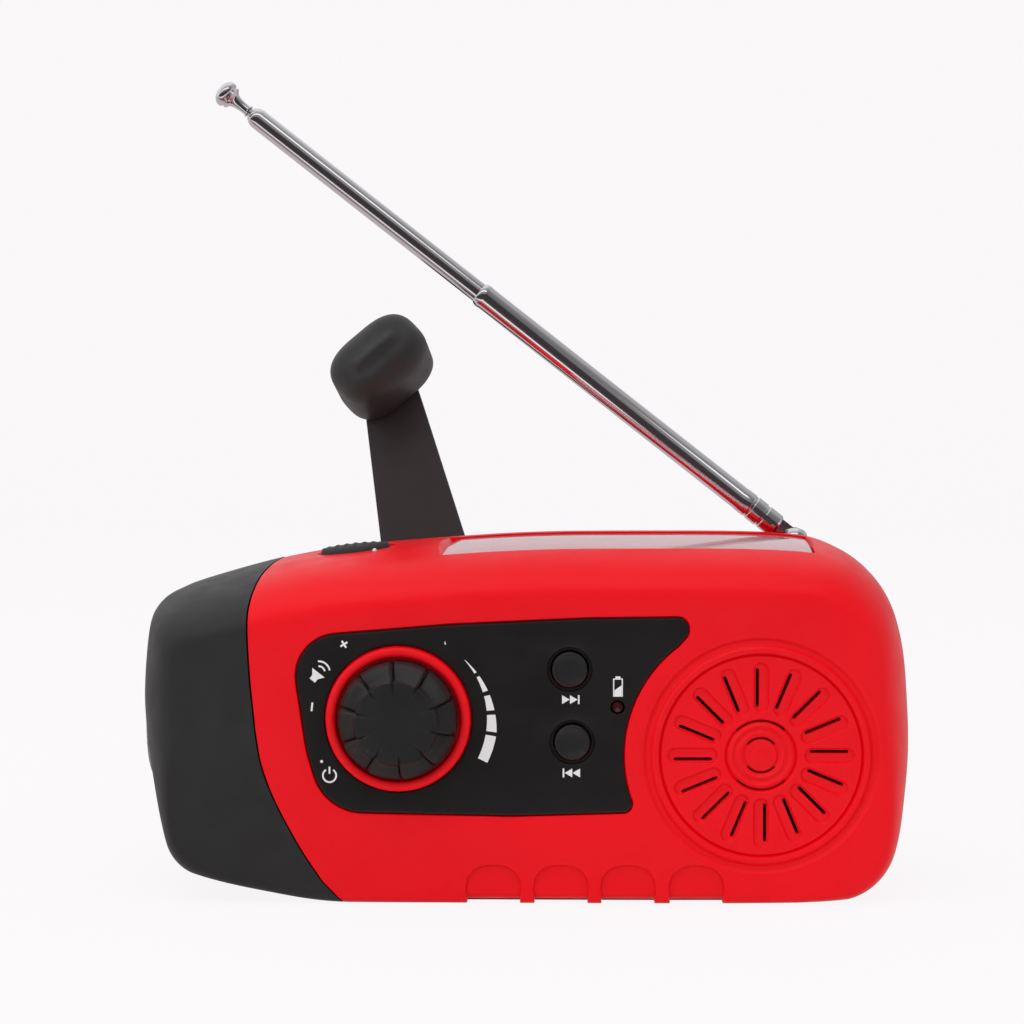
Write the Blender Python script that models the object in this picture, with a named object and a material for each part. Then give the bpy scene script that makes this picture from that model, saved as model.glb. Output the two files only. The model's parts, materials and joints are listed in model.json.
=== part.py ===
"""Hand-crank emergency radio with torch, solar panel and telescopic antenna.

The front faces -Y and the back +Y; +X is on the right seen from the front,
+Z is up.  The origin is on the resting plane, at mid width.  Sizes are in
millimetres and angles in radians; every mesh is written in metres.
"""
import math
from collections import namedtuple

import bmesh
import bpy
from mathutils import Matrix, Vector

MM = 0.001

# ------------------------------------------------------------ casing sizes
FRONT_Y = -21.0          # flat front face
BACK_Y = 18.0            # flat back face
SPLIT_Y = 10.0           # front shell ends here
SEAM_GAP = 0.3           # gap between neighbouring mouldings
WALL = 2.0
WALL_TOP = 2.8
FRONT_WALL = 3.0

# edge fillets lean towards a level centre line inside the casing
SPINE_Z = 30.0
SPINE_LEFT, SPINE_RIGHT = -44.0, 42.0
# fillet: length along Y, drop towards the spine
FILLET_TOP = (24.0, 9.0)
FILLET_SIDE = (20.0, 7.8)
FILLET_BOTTOM = (1.6, 1.4)
FILLET_BACK = (3.0, 3.0)
BACK_FILLET_STEPS = 2
CORNER_STEPS = 3         # segments in each rounded contour corner

# outer contour seen from the front, clockwise from the upper left:
# corner X, corner Z, corner radius
CASE_CORNERS = (
    (-62.2, 47.8, 6.0), (-38.0, 55.1, 120.0), (0.0, 58.1, 300.0),
    (61.4, 58.1, 18.0), (63.6, 24.0, 45.0), (58.8, 0.0, 11.0),
    (-32.5, 0.0, 60.0), (-57.2, 4.8, 7.5), (-64.3, 28.5, 42.0),
)

# joint line between the lamp cap and the red shells: Z, X
SEAM = (
    (-4.0, -26.0), (0.0, -28.9), (3.7, -32.4), (8.5, -35.6), (13.3, -38.3),
    (18.1, -40.6), (22.9, -42.2), (27.7, -43.0), (37.3, -43.9),
    (46.9, -44.2), (51.8, -43.4), (54.8, -41.2), (60.0, -37.0),
)

# cutters run past the casing to these limits
AHEAD_Y = FRONT_Y - 2.0
BEHIND_Y = 30.0
FAR_X = 90.0
FAR_Y = 40.0
LOW_Z, HIGH_Z = -20.0, 80.0
ABOVE_Z = 90.0

# ------------------------------------------------------------ shared places
KNOB_X, KNOB_Z = -20.1, 29.8
# button name, switch name, X, Z
BUTTONS = (("next_button", "switch_next", 7.2, 37.7),
           ("prev_button", "switch_prev", 7.6, 26.1))
LED_X, LED_Z = 14.8, 31.7
SPEAKER_X, SPEAKER_Z = 37.6, 24.0

# screw axes: X, Z
CASE_SCREWS = ((56.0, 46.5), (57.0, 13.2), (-35.0, 30.0), (26.0, 48.0))
GEAR_SCREWS = ((-22.0, 44.0), (21.5, 26.5), (20.5, 47.5))
BOARD_SCREWS = ((-28.0, 42.0), (13.2, 43.4))

BACKWARD = Vector((0, 1, 0))
RIGHTWARD = Vector((1, 0, 0))
UPWARD = Vector((0, 0, 1))

# light button, square to the sloping top
LIGHT_LEAN = math.radians(-5.9)
LIGHT_ORIGIN = Vector((-28.7, 0, 55.35))
LIGHT_UP = Vector((math.sin(LIGHT_LEAN), 0, math.cos(LIGHT_LEAN)))
LIGHT_SIDE = Vector((math.cos(LIGHT_LEAN), 0, -math.sin(LIGHT_LEAN)))

# torch, centred in the left end
LAMP_Y, LAMP_Z = -1.5, 30.0
LAMP_LED_PITCH = 8.2
LAMP_LED_HEIGHTS = [LAMP_Z + LAMP_LED_PITCH * (k - 1) for k in range(3)]

# crank
CRANK_X, CRANK_Z = -12.6, 27.0
ARM_LEAN = math.radians(13.6)    # arm leans left of vertical
ARM_OUT = math.radians(20.0)     # arm stands off the back
ARM_LENGTH = 62.8
HINGE_Y = 22.2

# antenna pivot and its tilt above the horizontal, towards the left
ANTENNA_X, ANTENNA_Y, ANTENNA_Z = 46.4, 15.0, 56.2
ANTENNA_TILT = math.radians(38.2)


# ------------------------------------------------------------ scene helpers
def clear_scene():
    for ob in list(bpy.data.objects):
        bpy.data.objects.remove(ob, do_unlink=True)


MATERIALS = {}


def material(name, color, roughness, metallic=0.0, alpha=1.0):
    made = bpy.data.materials.new(name)
    made.use_nodes = True
    inputs = made.node_tree.nodes["Principled BSDF"].inputs
    inputs["Base Color"].default_value = (*color, 1.0)
    inputs["Roughness"].default_value = roughness
    inputs["Metallic"].default_value = metallic
    inputs["Alpha"].default_value = alpha
    MATERIALS[name] = made


def make_plastics():
    material("red_shell", color=(0.72, 0.012, 0.016), roughness=0.42)
    material("black_cap", color=(0.016, 0.016, 0.018), roughness=0.62)
    material("black_panel", color=(0.012, 0.012, 0.013), roughness=0.45)
    material("black_knob", color=(0.010, 0.010, 0.011), roughness=0.55)
    material("soft_rubber", color=(0.014, 0.014, 0.015), roughness=0.75)
    material("clear_plastic", color=(0.95, 0.93, 0.93), roughness=0.12, alpha=0.35)
    material("gear_plastic", color=(0.86, 0.85, 0.80), roughness=0.40)


def make_metals():
    material("chrome", color=(0.78, 0.78, 0.80), roughness=0.12, metallic=1.0)
    material("steel", color=(0.50, 0.50, 0.52), roughness=0.32, metallic=1.0)
    material("silver_reflector", color=(0.85, 0.85, 0.87), roughness=0.10, metallic=1.0)
    material("copper", color=(0.70, 0.32, 0.16), roughness=0.35, metallic=1.0)
    material("magnet", color=(0.12, 0.12, 0.13), roughness=0.38, metallic=1.0)


def make_component_materials():
    material("white_led", color=(0.93, 0.92, 0.80), roughness=0.25)
    material("red_led", color=(0.30, 0.010, 0.012), roughness=0.20)
    material("circuit_board", color=(0.020, 0.16, 0.060), roughness=0.45)
    material("grey_component", color=(0.10, 0.10, 0.11), roughness=0.45)
    material("solar_cell", color=(0.015, 0.022, 0.070), roughness=0.22)
    material("paper_cone", color=(0.045, 0.045, 0.048), roughness=0.85)
    material("battery_wrap", color=(0.06, 0.20, 0.42), roughness=0.35)


def new_object(bm):
    """Turn a bmesh in millimetres into a clean outward-facing object."""
    bmesh.ops.remove_doubles(bm, verts=bm.verts[:], dist=1e-4)
    bmesh.ops.recalc_face_normals(bm, faces=bm.faces[:])
    bm.normal_update()
    if bm.calc_volume(signed=True) < 0:
        bmesh.ops.reverse_faces(bm, faces=bm.faces[:])
    bmesh.ops.scale(bm, vec=(MM,) * 3, verts=bm.verts[:])
    mesh = bpy.data.meshes.new("solid")
    bm.to_mesh(mesh)
    bm.free()
    ob = bpy.data.objects.new("solid", mesh)
    bpy.context.scene.collection.objects.link(ob)
    return ob


def boolean(target, others, operation):
    """Apply one exact Boolean per other object, in order, and use them up."""
    for other in others:
        modifier = target.modifiers.new("boolean", 'BOOLEAN')
        modifier.operation = operation
        modifier.solver = 'EXACT'
        modifier.object = other
        bpy.context.view_layer.update()
        depsgraph = bpy.context.evaluated_depsgraph_get()
        mesh = bpy.data.meshes.new_from_object(target.evaluated_get(depsgraph))
        target.modifiers.remove(modifier)
        old_mesh = target.data
        target.data = mesh
        bpy.data.meshes.remove(old_mesh)
        bpy.data.objects.remove(other, do_unlink=True)


def cut(target, *others):
    boolean(target, others, 'DIFFERENCE')


def fuse(target, *others):
    boolean(target, others, 'UNION')


def keep(target, *others):
    boolean(target, others, 'INTERSECT')


def finish(ob, name, material_name, angle=35.0, origin=None):
    """Name, clean and shade a piece; origin, in millimetres, moves its pivot."""
    ob.name = name
    mesh = ob.data
    mesh.name = name
    mesh.materials.clear()
    mesh.materials.append(MATERIALS[material_name])
    bm = bmesh.new()
    bm.from_mesh(mesh)
    bmesh.ops.remove_doubles(bm, verts=bm.verts[:], dist=2e-7)
    bmesh.ops.dissolve_degenerate(bm, dist=2e-7, edges=bm.edges[:])
    bmesh.ops.dissolve_limit(bm, angle_limit=math.radians(0.2), verts=bm.verts[:],
                             edges=bm.edges[:])
    bmesh.ops.triangulate(bm, faces=bm.faces[:])
    bm.to_mesh(mesh)
    bm.free()
    mesh.shade_smooth()
    mesh.set_sharp_from_angle(angle=math.radians(angle))
    if origin is not None:
        pivot = Vector(origin) * MM
        mesh.transform(Matrix.Translation(-pivot))
        ob.location = pivot


# ------------------------------------------------------------ solids
def skin(rings):
    """Skin a list of closed rings of equal count and cap both ends."""
    bm = bmesh.new()
    rows = [[bm.verts.new(point) for point in ring] for ring in rings]
    count = len(rows[0])
    for row, after in zip(rows[:-1], rows[1:]):
        for i in range(count):
            j = (i + 1) % count
            bm.faces.new((row[i], row[j], after[j], after[i]))
    bm.faces.new(rows[0])
    bm.faces.new(rows[-1])
    return new_object(bm)


def prism(contour, y0, y1):
    """Extrude an (X, Z) contour along Y."""
    return skin([[(x, y, z) for x, z in contour] for y in (y0, y1)])


def x_prism(contour, x0, x1):
    """Extrude a (Y, Z) contour along X."""
    return skin([[(x, y, z) for y, z in contour] for x in (x0, x1)])


def box(x_span, y_span, z_span):
    (x0, x1), (z0, z1) = x_span, z_span
    return prism([(x0, z0), (x1, z0), (x1, z1), (x0, z1)], *y_span)


def turned(profile, start, direction, sides=24, hint=UPWARD):
    """Solid of revolution.  The profile is (radius, distance) pairs, from axis
    to axis, or a closed ring of pairs when no radius is zero.  The first
    vertex of each circle lies towards the hint."""
    axis = Vector(direction).normalized()
    hint = Vector(hint)
    if abs(axis.dot(hint.normalized())) > 0.95:
        hint = RIGHTWARD
    first = (hint - axis * hint.dot(axis)).normalized()
    second = axis.cross(first)
    start = Vector(start)
    bm = bmesh.new()
    rows = []
    for radius, distance in profile:
        centre = start + axis * distance
        if radius <= 1e-6:
            rows.append([bm.verts.new(centre)])
            continue
        turns = [2 * math.pi * i / sides for i in range(sides)]
        rows.append([bm.verts.new(centre + first * radius * math.cos(turn)
                                  + second * radius * math.sin(turn)) for turn in turns])
    pairs = list(zip(rows[:-1], rows[1:]))
    if all(len(row) > 1 for row in rows):
        pairs.append((rows[-1], rows[0]))
    for row, after in pairs:
        for i in range(sides):
            j = (i + 1) % sides
            if len(row) == 1:
                bm.faces.new((row[0], after[i], after[j]))
            elif len(after) == 1:
                bm.faces.new((row[i], after[0], row[j]))
            else:
                bm.faces.new((row[i], after[i], after[j], row[j]))
    return new_object(bm)


def y_turned(profile, x, z, sides):
    """Solid of revolution about a Y axis; the profile is (radius, Y) pairs."""
    return turned(profile, (x, 0, z), BACKWARD, sides)


def rod(start, end, radius, sides=16, hint=UPWARD):
    path = Vector(end) - Vector(start)
    length = path.length
    return turned([(0, 0), (radius, 0), (radius, length), (0, length)],
                  start, path, sides, hint)


def y_rod(x, z, y0, y1, radius, sides=16):
    return rod((x, y0, z), (x, y1, z), radius, sides)


def y_tube(x, z, y0, y1, outer, inner, sides):
    path = Vector((x, y1, z)) - Vector((x, y0, z))
    length = path.length
    return turned([(inner, 0), (outer, 0), (outer, length), (inner, length)],
                  (x, y0, z), path, sides)


def place(points, origin, *axes):
    """Put points given along three local axes into the radio's frame."""
    first, second, third = axes
    return [origin + first * a + second * b + third * c for a, b, c in points]


# ------------------------------------------------------------ contours
def round_corners(corners):
    """Round each (x, z, radius) corner of a closed contour with an arc."""
    points = []
    count = len(corners)
    for i, (x, z, radius) in enumerate(corners):
        if radius <= 0:
            points.append((x, z))
            continue
        corner = Vector((x, z))
        before = (Vector(corners[i - 1][:2]) - corner).normalized()
        after = (Vector(corners[(i + 1) % count][:2]) - corner).normalized()
        half = before.angle(after) / 2
        setback = radius / math.tan(half)
        centre = corner + (before + after).normalized() * (radius / math.sin(half))
        first = corner + before * setback - centre
        last = corner + after * setback - centre
        start = math.atan2(first.y, first.x)
        end = math.atan2(last.y, last.x)
        sweep = (end - start + math.pi) % (2 * math.pi) - math.pi
        for k in range(CORNER_STEPS + 1):
            turn = start + sweep * k / CORNER_STEPS
            points.append((centre.x + radius * math.cos(turn),
                           centre.y + radius * math.sin(turn)))
    return points


def grow(contour, distance):
    """Move a clockwise contour outwards along its vertex normals."""
    count = len(contour)
    points = []
    for i, (x, z) in enumerate(contour):
        before = Vector(contour[i]) - Vector(contour[i - 1])
        after = Vector(contour[(i + 1) % count]) - Vector(contour[i])
        normal = (Vector((-before.y, before.x)).normalized()
                  + Vector((-after.y, after.x)).normalized())
        normal = normal / max(normal.length_squared / 2, 0.3)
        points.append((x + normal.x * distance, z + normal.y * distance))
    return points


def cut_corners(points):
    """One round of Chaikin smoothing: two points on each side, at quarters."""
    smooth = []
    for i, (x0, z0) in enumerate(points):
        x1, z1 = points[(i + 1) % len(points)]
        smooth.append((x0 * 0.75 + x1 * 0.25, z0 * 0.75 + z1 * 0.25))
        smooth.append((x0 * 0.25 + x1 * 0.75, z0 * 0.25 + z1 * 0.75))
    return smooth


def stadium(centre_x, centre_z, half_width, half_height, steps=8):
    """Rounded slot contour of 2 * steps points."""
    radius = min(half_width, half_height)
    points = []
    for k in range(2 * steps):
        turn = 2 * math.pi * (k + 0.5) / (2 * steps)
        offset_x = (half_width - radius) * (1 if math.cos(turn) > 0 else -1)
        offset_z = (half_height - radius) * (1 if math.sin(turn) > 0 else -1)
        points.append((centre_x + offset_x + radius * math.cos(turn),
                       centre_z + offset_z + radius * math.sin(turn)))
    return points


# ------------------------------------------------------------ casing blanks
def spine_direction(x, z):
    """Unit direction in (X, Z) from a contour point to the spine."""
    spine_x = min(max(x, SPINE_LEFT), SPINE_RIGHT)
    return Vector((spine_x - x, SPINE_Z - z)).normalized()


def blend(inward, top, side, bottom):
    """Value for a contour point with this inward direction."""
    weight = inward.y * inward.y
    return (top if inward.y < 0 else bottom) * weight + side * (1 - weight)


def casing(wall_side, wall_top, y0, y1, front=True, back=False, steps=4, skip=1):
    """Closed solid of the casing's outside, set in by a wall thickness.

    front and back choose filleted ends; skip thins the contour."""
    contour = cut_corners(round_corners(CASE_CORNERS))[::skip]

    def front_fillet(inward, turn):
        length, drop = (blend(inward, *sizes)
                        for sizes in zip(FILLET_TOP, FILLET_SIDE, FILLET_BOTTOM))
        return drop * (1 - math.sin(turn)), y0 + length * (1 - math.cos(turn))

    def back_fillet(inward, turn):
        length, drop = FILLET_BACK
        return drop * (1 - math.cos(turn)), y1 - length * (1 - math.sin(turn))

    def ring(fillet, turn):
        points = []
        for x, z in contour:
            inward = spine_direction(x, z)
            drop, y = fillet(inward, turn)
            inset = blend(inward, wall_top, wall_side, wall_side) + drop
            points.append((x + inward.x * inset, y, z + inward.y * inset))
        return points

    def end_rings(filleted, fillet, count, flat_y):
        if not filleted:
            return [ring(lambda inward, turn: (0.0, flat_y), 0.0)]
        return [ring(fillet, math.pi / 2 * k / count) for k in range(count + 1)]

    return skin(end_rings(front, front_fillet, steps, y0)
                + end_rings(back, back_fillet, BACK_FILLET_STEPS, y1))


def inner_block(wall_side, wall_top, front_wall, back_wall):
    """Coarser casing solid set in from every face of the outside."""
    return casing(wall_side, wall_top, FRONT_Y + front_wall, BACK_Y - back_wall,
                  back=True, steps=3, skip=2)


def side_of_seam(shift, left):
    """Block that covers everything on one side of the cap's joint line."""
    far = -FAR_X if left else FAR_X
    contour = [(SEAM[0][1] + shift, LOW_Z)]
    contour += [(x + shift, z) for z, x in SEAM]
    contour += [(SEAM[-1][1] + shift, HIGH_Z), (far, HIGH_Z), (far, LOW_Z)]
    return prism(contour, -FAR_Y, FAR_Y)


# ------------------------------------------------------------ panel and window
KNOB_WELL_RADIUS = 11.8
BUTTON_HOLE_RADIUS = 3.1
BUTTON_RECESS_RADIUS = 3.6
LED_HOLE_RADIUS = 1.3
PANEL_GAP = 0.25
PANEL_THICKNESS = 1.0
PANEL_ARC_RADIUS = 21.7          # right edge, round the speaker
PANEL_ARC_START, PANEL_ARC_END = math.radians(126.0), math.radians(198.0)
PANEL_ARC_STEPS = 7
# corner X, corner Z, corner radius, before and after the arc
PANEL_UPPER = [(-37.6, 42.9, 7.0), (-11.8, 45.0, 40.0), (10.0, 46.0, 30.0),
               (26.2, 46.2, 1.9), (26.2, 43.0, 0.6)]
PANEL_LOWER = [(17.9, 14.7, 1.6), (-2.0, 14.1, 30.0), (-32.0, 14.7, 8.4),
               (-34.9, 24.6, 20.0)]

WINDOW_X = (-13.5, 46.7)
WINDOW_Y = (-11.3, 8.0)
WINDOW_Z = (45.0, 62.0)          # block height, trimmed to the casing top
WINDOW_GAP = 0.3
WINDOW_TOP_INSET, WINDOW_FLOOR_INSET, WINDOW_SEAT_INSET = 0.4, 1.3, 1.6


def panel_contour():
    """Clockwise contour of the black control panel."""
    sweep = PANEL_ARC_END - PANEL_ARC_START
    arc = []
    for k in range(PANEL_ARC_STEPS + 1):
        turn = PANEL_ARC_START + sweep * k / PANEL_ARC_STEPS
        arc.append((SPEAKER_X + PANEL_ARC_RADIUS * math.cos(turn),
                    SPEAKER_Z + PANEL_ARC_RADIUS * math.sin(turn), 0))
    return round_corners(PANEL_UPPER + arc + PANEL_LOWER)


def face_cutter(x, z, radius, sides=16, end_y=-14.0):
    """Round cutter that enters through the front face."""
    return y_rod(x, z, -26.0, end_y, radius, sides)


def build_control_panel():
    panel = prism(grow(panel_contour(), -PANEL_GAP), FRONT_Y, FRONT_Y + PANEL_THICKNESS)
    cut(panel, face_cutter(KNOB_X, KNOB_Z, KNOB_WELL_RADIUS, 28))
    for _, _, x, z in BUTTONS:
        cut(panel,
            face_cutter(x, z, BUTTON_HOLE_RADIUS),
            face_cutter(x, z, BUTTON_RECESS_RADIUS, 20, end_y=FRONT_Y + 0.5))
    cut(panel, face_cutter(LED_X, LED_Z, LED_HOLE_RADIUS, 10))
    finish(panel, "control_panel", "black_panel")


def window_block(margin):
    """Upright block with the window's plan, widened by a margin."""
    (x0, x1), (y0, y1) = WINDOW_X, WINDOW_Y
    return box((x0 - margin, x1 + margin), (y0 - margin, y1 + margin), WINDOW_Z)


def set_in_casing(inset):
    return casing(inset, inset, FRONT_Y, BEHIND_Y)


def build_solar_window():
    window = window_block(0.0)
    keep(window, set_in_casing(WINDOW_TOP_INSET))
    cut(window, set_in_casing(WINDOW_FLOOR_INSET))
    finish(window, "solar_window", "clear_plastic")


def build_solar_cell():
    cell = box((-11.5, 45.6), (-8.6, 7.2), (51.2, 52.2))
    finish(cell, "solar_cell", "solar_cell")


# ------------------------------------------------------------ front shell
CASE_POST_RADIUS = 3.0
# front ends of the case screw posts; the two on the right are short
CASE_POST_FRONTS = (-8.6, -8.6, FRONT_Y + 1.5, FRONT_Y + 1.5)
CASE_PILOT_RADIUS = 1.1
BOARD_POST_RADIUS = 2.4
BOARD_POST_Y = (FRONT_Y + 1.5, -10.7)
PILOT_RADIUS = 0.8               # board and gearbox screws
PANEL_SEAT_DEPTH = 1.3
COLLAR_OUTER, COLLAR_INNER = 11.5, 10.3      # raised ring round the knob
SHAFT_HOLE_RADIUS = 3.4

SPEAKER_SEAT_RADIUS = 18.25
SPEAKER_SEAT_Y = (-17.95, -8.0)
# ring grooves in the grille: outer radius, inner radius, sides
GRILLE_GROOVES = ((16.2, 15.6, 32), (6.5, 6.1, 20))
GROOVE_DEPTH = 0.5
SLOT_COUNT = 16
SLOT_INNER, SLOT_OUTER = 7.65, 13.7
SLOT_HALF_WIDTH = 0.42
SLOT_SHIFT = 0.7                 # sideways offset from the true radius
SLOT_END_STEPS = 2
HUB_SLOT_RADIUS, HUB_SLOT_HALF_WIDTH = 3.2, 0.3
HUB_SLOT_HALF_ANGLE = 50
HUB_SLOT_STEPS = 6
SLOT_END_Y = -14.0

ARCH_X = (-5.0, 5.8, 16.5, 27.4)     # recesses along the bottom edge
ARCH_HALF_WIDTH = 4.25
ARCH_FLOOR_Z, ARCH_SPRING_Z, ARCH_TOP_Z = -1.0, 2.4, 6.2
ARCH_STEPS = 8
ARCH_DEPTH = 0.9


def radial_slot(angle):
    """Round-ended grille slot pointing away from the speaker's centre."""
    points = []
    for start, centre in ((-math.pi / 2, SLOT_OUTER - SLOT_HALF_WIDTH),
                          (math.pi / 2, SLOT_INNER + SLOT_HALF_WIDTH)):
        for k in range(SLOT_END_STEPS + 1):
            turn = start + math.pi * k / SLOT_END_STEPS
            points.append((centre + SLOT_HALF_WIDTH * math.cos(turn),
                           SLOT_HALF_WIDTH * math.sin(turn) + SLOT_SHIFT))
    cosine, sine = math.cos(angle), math.sin(angle)
    return [(SPEAKER_X + cosine * along - sine * aside,
             SPEAKER_Z + sine * along + cosine * aside) for along, aside in points]


def hub_slot(start, end):
    """Curved slot inside the hub groove."""
    points = []
    for radius, first, last in ((HUB_SLOT_RADIUS + HUB_SLOT_HALF_WIDTH, start, end),
                                (HUB_SLOT_RADIUS - HUB_SLOT_HALF_WIDTH, end, start)):
        for k in range(HUB_SLOT_STEPS + 1):
            turn = first + (last - first) * k / HUB_SLOT_STEPS
            points.append((SPEAKER_X + radius * math.cos(turn),
                           SPEAKER_Z + radius * math.sin(turn)))
    return points


def arch_contour(centre_x):
    right, left = centre_x + ARCH_HALF_WIDTH, centre_x - ARCH_HALF_WIDTH
    points = [(right, ARCH_FLOOR_Z), (right, ARCH_SPRING_Z)]
    for k in range(1, ARCH_STEPS):
        turn = math.pi * k / ARCH_STEPS
        points.append((centre_x + ARCH_HALF_WIDTH * math.cos(turn),
                       ARCH_SPRING_Z + (ARCH_TOP_Z - ARCH_SPRING_Z) * math.sin(turn)))
    return points + [(left, ARCH_SPRING_Z), (left, ARCH_FLOOR_Z)]


def oval_stack(levels, sides=24):
    """Stack of ovals (half length, half width, height) at the light button."""
    rings = []
    for half_length, half_width, height in levels:
        turns = [2 * math.pi * i / sides for i in range(sides)]
        rings.append([LIGHT_ORIGIN + LIGHT_UP * height
                      + LIGHT_SIDE * half_length * math.cos(turn)
                      + BACKWARD * half_width * math.sin(turn) for turn in turns])
    return skin(rings)


def add_front_posts(shell):
    for (x, z), front_y in zip(CASE_SCREWS, CASE_POST_FRONTS):
        fuse(shell, y_rod(x, z, front_y, SPLIT_Y - 0.1, CASE_POST_RADIUS, 12))
        cut(shell, y_rod(x, z, -8.0, SPLIT_Y + 1.0, CASE_PILOT_RADIUS, 8))
    for x, z in BOARD_SCREWS:
        fuse(shell, y_rod(x, z, *BOARD_POST_Y, BOARD_POST_RADIUS, 12))
        cut(shell, y_rod(x, z, -16.5, -10.0, PILOT_RADIUS, 8))


def cut_control_face(shell):
    """Panel seat, collar of the knob and the holes of the controls."""
    cut(shell, prism(panel_contour(), AHEAD_Y, FRONT_Y + PANEL_SEAT_DEPTH))
    fuse(shell, y_tube(KNOB_X, KNOB_Z, FRONT_Y - 1.2, FRONT_Y + 1.6,
                       COLLAR_OUTER, COLLAR_INNER, 28))
    cut(shell, face_cutter(KNOB_X, KNOB_Z, SHAFT_HOLE_RADIUS))
    for _, _, x, z in BUTTONS:
        cut(shell, face_cutter(x, z, BUTTON_HOLE_RADIUS))
    cut(shell, face_cutter(LED_X, LED_Z, LED_HOLE_RADIUS, 10))


def cut_grille(shell):
    """Speaker seat behind the face, ring grooves and sound slots."""
    cut(shell, y_rod(SPEAKER_X, SPEAKER_Z, *SPEAKER_SEAT_Y, SPEAKER_SEAT_RADIUS, 32))
    for outer, inner, sides in GRILLE_GROOVES:
        cut(shell, y_tube(SPEAKER_X, SPEAKER_Z, FRONT_Y - 1, FRONT_Y + GROOVE_DEPTH,
                          outer, inner, sides))
    for k in range(SLOT_COUNT):
        angle = math.radians(360.0 / SLOT_COUNT * k)
        cut(shell, prism(radial_slot(angle), AHEAD_Y, SLOT_END_Y))
    for middle in (90.0, 270.0):
        slot = hub_slot(math.radians(middle - HUB_SLOT_HALF_ANGLE),
                        math.radians(middle + HUB_SLOT_HALF_ANGLE))
        cut(shell, prism(slot, AHEAD_Y, SLOT_END_Y))


def cut_top_openings(shell):
    """Seat and opening of the solar window, hole of the light button."""
    seat = window_block(WINDOW_GAP)
    cut(seat, set_in_casing(WINDOW_SEAT_INSET))
    cut(shell,
        seat,
        box((-12.0, 45.2), (-10.0, 6.8), (50.0, 62.0)),
        oval_stack([(6.15, 4.35, -9.0), (6.15, 4.35, 4.0)]))


def build_front_shell():
    shell = casing(0.0, 0.0, FRONT_Y, SPLIT_Y)
    cut(shell,
        casing(WALL, WALL_TOP, FRONT_Y + FRONT_WALL, SPLIT_Y + 1.0, steps=3, skip=2),
        side_of_seam(SEAM_GAP / 2, left=True))
    add_front_posts(shell)
    cut_control_face(shell)
    cut_grille(shell)
    for x in ARCH_X:
        cut(shell, prism(arch_contour(x), AHEAD_Y, FRONT_Y + ARCH_DEPTH))
    cut_top_openings(shell)
    finish(shell, "front_shell", "red_shell")


# ------------------------------------------------------------ rear shell
POST_END_Y = 16.6                # posts end inside the back wall
POCKET_X = CRANK_X + ARM_LENGTH  # pocket for the grip of the folded crank
POCKET_RADIUS, POCKET_WALL = 9.8, 0.9
POCKET_FRONT_Y, POCKET_FLOOR_Y = 3.3, 4.7
GEAR_POST_RADIUS = 2.5
CASE_HOLE_RADIUS, CASE_HEAD_RADIUS = 1.35, 2.6
CRANK_HOLE_RADIUS = 4.4
ANTENNA_POST_RADIUS, ANTENNA_HOLE_RADIUS = 2.6, 1.85
STEP_Y, STEP_Z = 11.9, 53.2      # open step along the top edge
ROOM_TOP_Z = 51.2
DRAFT = 0.66                     # rise of the underside at its front end


def add_rear_posts(shell):
    fuse(shell, y_rod(POCKET_X, CRANK_Z, POCKET_FRONT_Y, POST_END_Y,
                      POCKET_RADIUS + POCKET_WALL, 28))
    for x, z in CASE_SCREWS:
        fuse(shell, y_rod(x, z, SPLIT_Y + SEAM_GAP, POST_END_Y, CASE_POST_RADIUS, 14))
    for x, z in GEAR_SCREWS:
        fuse(shell, y_rod(x, z, 10.7, POST_END_Y, GEAR_POST_RADIUS, 12))
        cut(shell, y_rod(x, z, 9.0, 15.6, PILOT_RADIUS, 8))
    fuse(shell, rod((ANTENNA_X, ANTENNA_Y, 46.5), (ANTENNA_X, ANTENNA_Y, 52.2),
                    ANTENNA_POST_RADIUS, 14))


def cut_rear_holes(shell):
    cut(shell, y_rod(POCKET_X, CRANK_Z, POCKET_FLOOR_Y, BEHIND_Y, POCKET_RADIUS, 28))
    for x, z in CASE_SCREWS:
        cut(shell,
            y_rod(x, z, 8.0, BEHIND_Y, CASE_HOLE_RADIUS, 10),
            y_rod(x, z, 15.0, BEHIND_Y, CASE_HEAD_RADIUS, 14))
    cut(shell,
        y_rod(CRANK_X, CRANK_Z, 9.0, BEHIND_Y, CRANK_HOLE_RADIUS, 24),
        rod((ANTENNA_X, ANTENNA_Y, 45.0), (ANTENNA_X, ANTENNA_Y, 60.0),
            ANTENNA_HOLE_RADIUS, 14))
    # seat of the port flap, then the wide and the narrow socket opening
    cut(shell,
        box((29.3, 55.3), (16.8, BEHIND_Y), (3.7, 13.4)),
        box((30.2, 44.0), (8.0, BEHIND_Y), (5.2, 11.5)),
        box((44.7, 54.3), (8.0, BEHIND_Y), (5.2, 9.3)))


def build_rear_shell():
    shell = casing(0.0, 0.0, SPLIT_Y + SEAM_GAP, BACK_Y, front=False, back=True)
    # the folded antenna lies in the step
    cut(shell, box((-60.0, FAR_X), (STEP_Y, FAR_Y), (STEP_Z, ABOVE_Z)))
    room = casing(WALL, WALL, SPLIT_Y - 1.0, BACK_Y - WALL, front=False, back=True, skip=2)
    cut(room, box((-FAR_X, FAR_X), (0.0, FAR_Y), (ROOM_TOP_Z, ABOVE_Z)))
    cut(shell, room)
    add_rear_posts(shell)
    cut_rear_holes(shell)
    # the underside drafts up towards the joint with the front shell
    cut(shell,
        x_prism([(9.0, -2.0), (20.0, -2.0), (20.0, 0.0), (9.0, DRAFT)], -40.0, 70.0),
        side_of_seam(SEAM_GAP / 2, left=True))
    finish(shell, "rear_shell", "red_shell")


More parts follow.
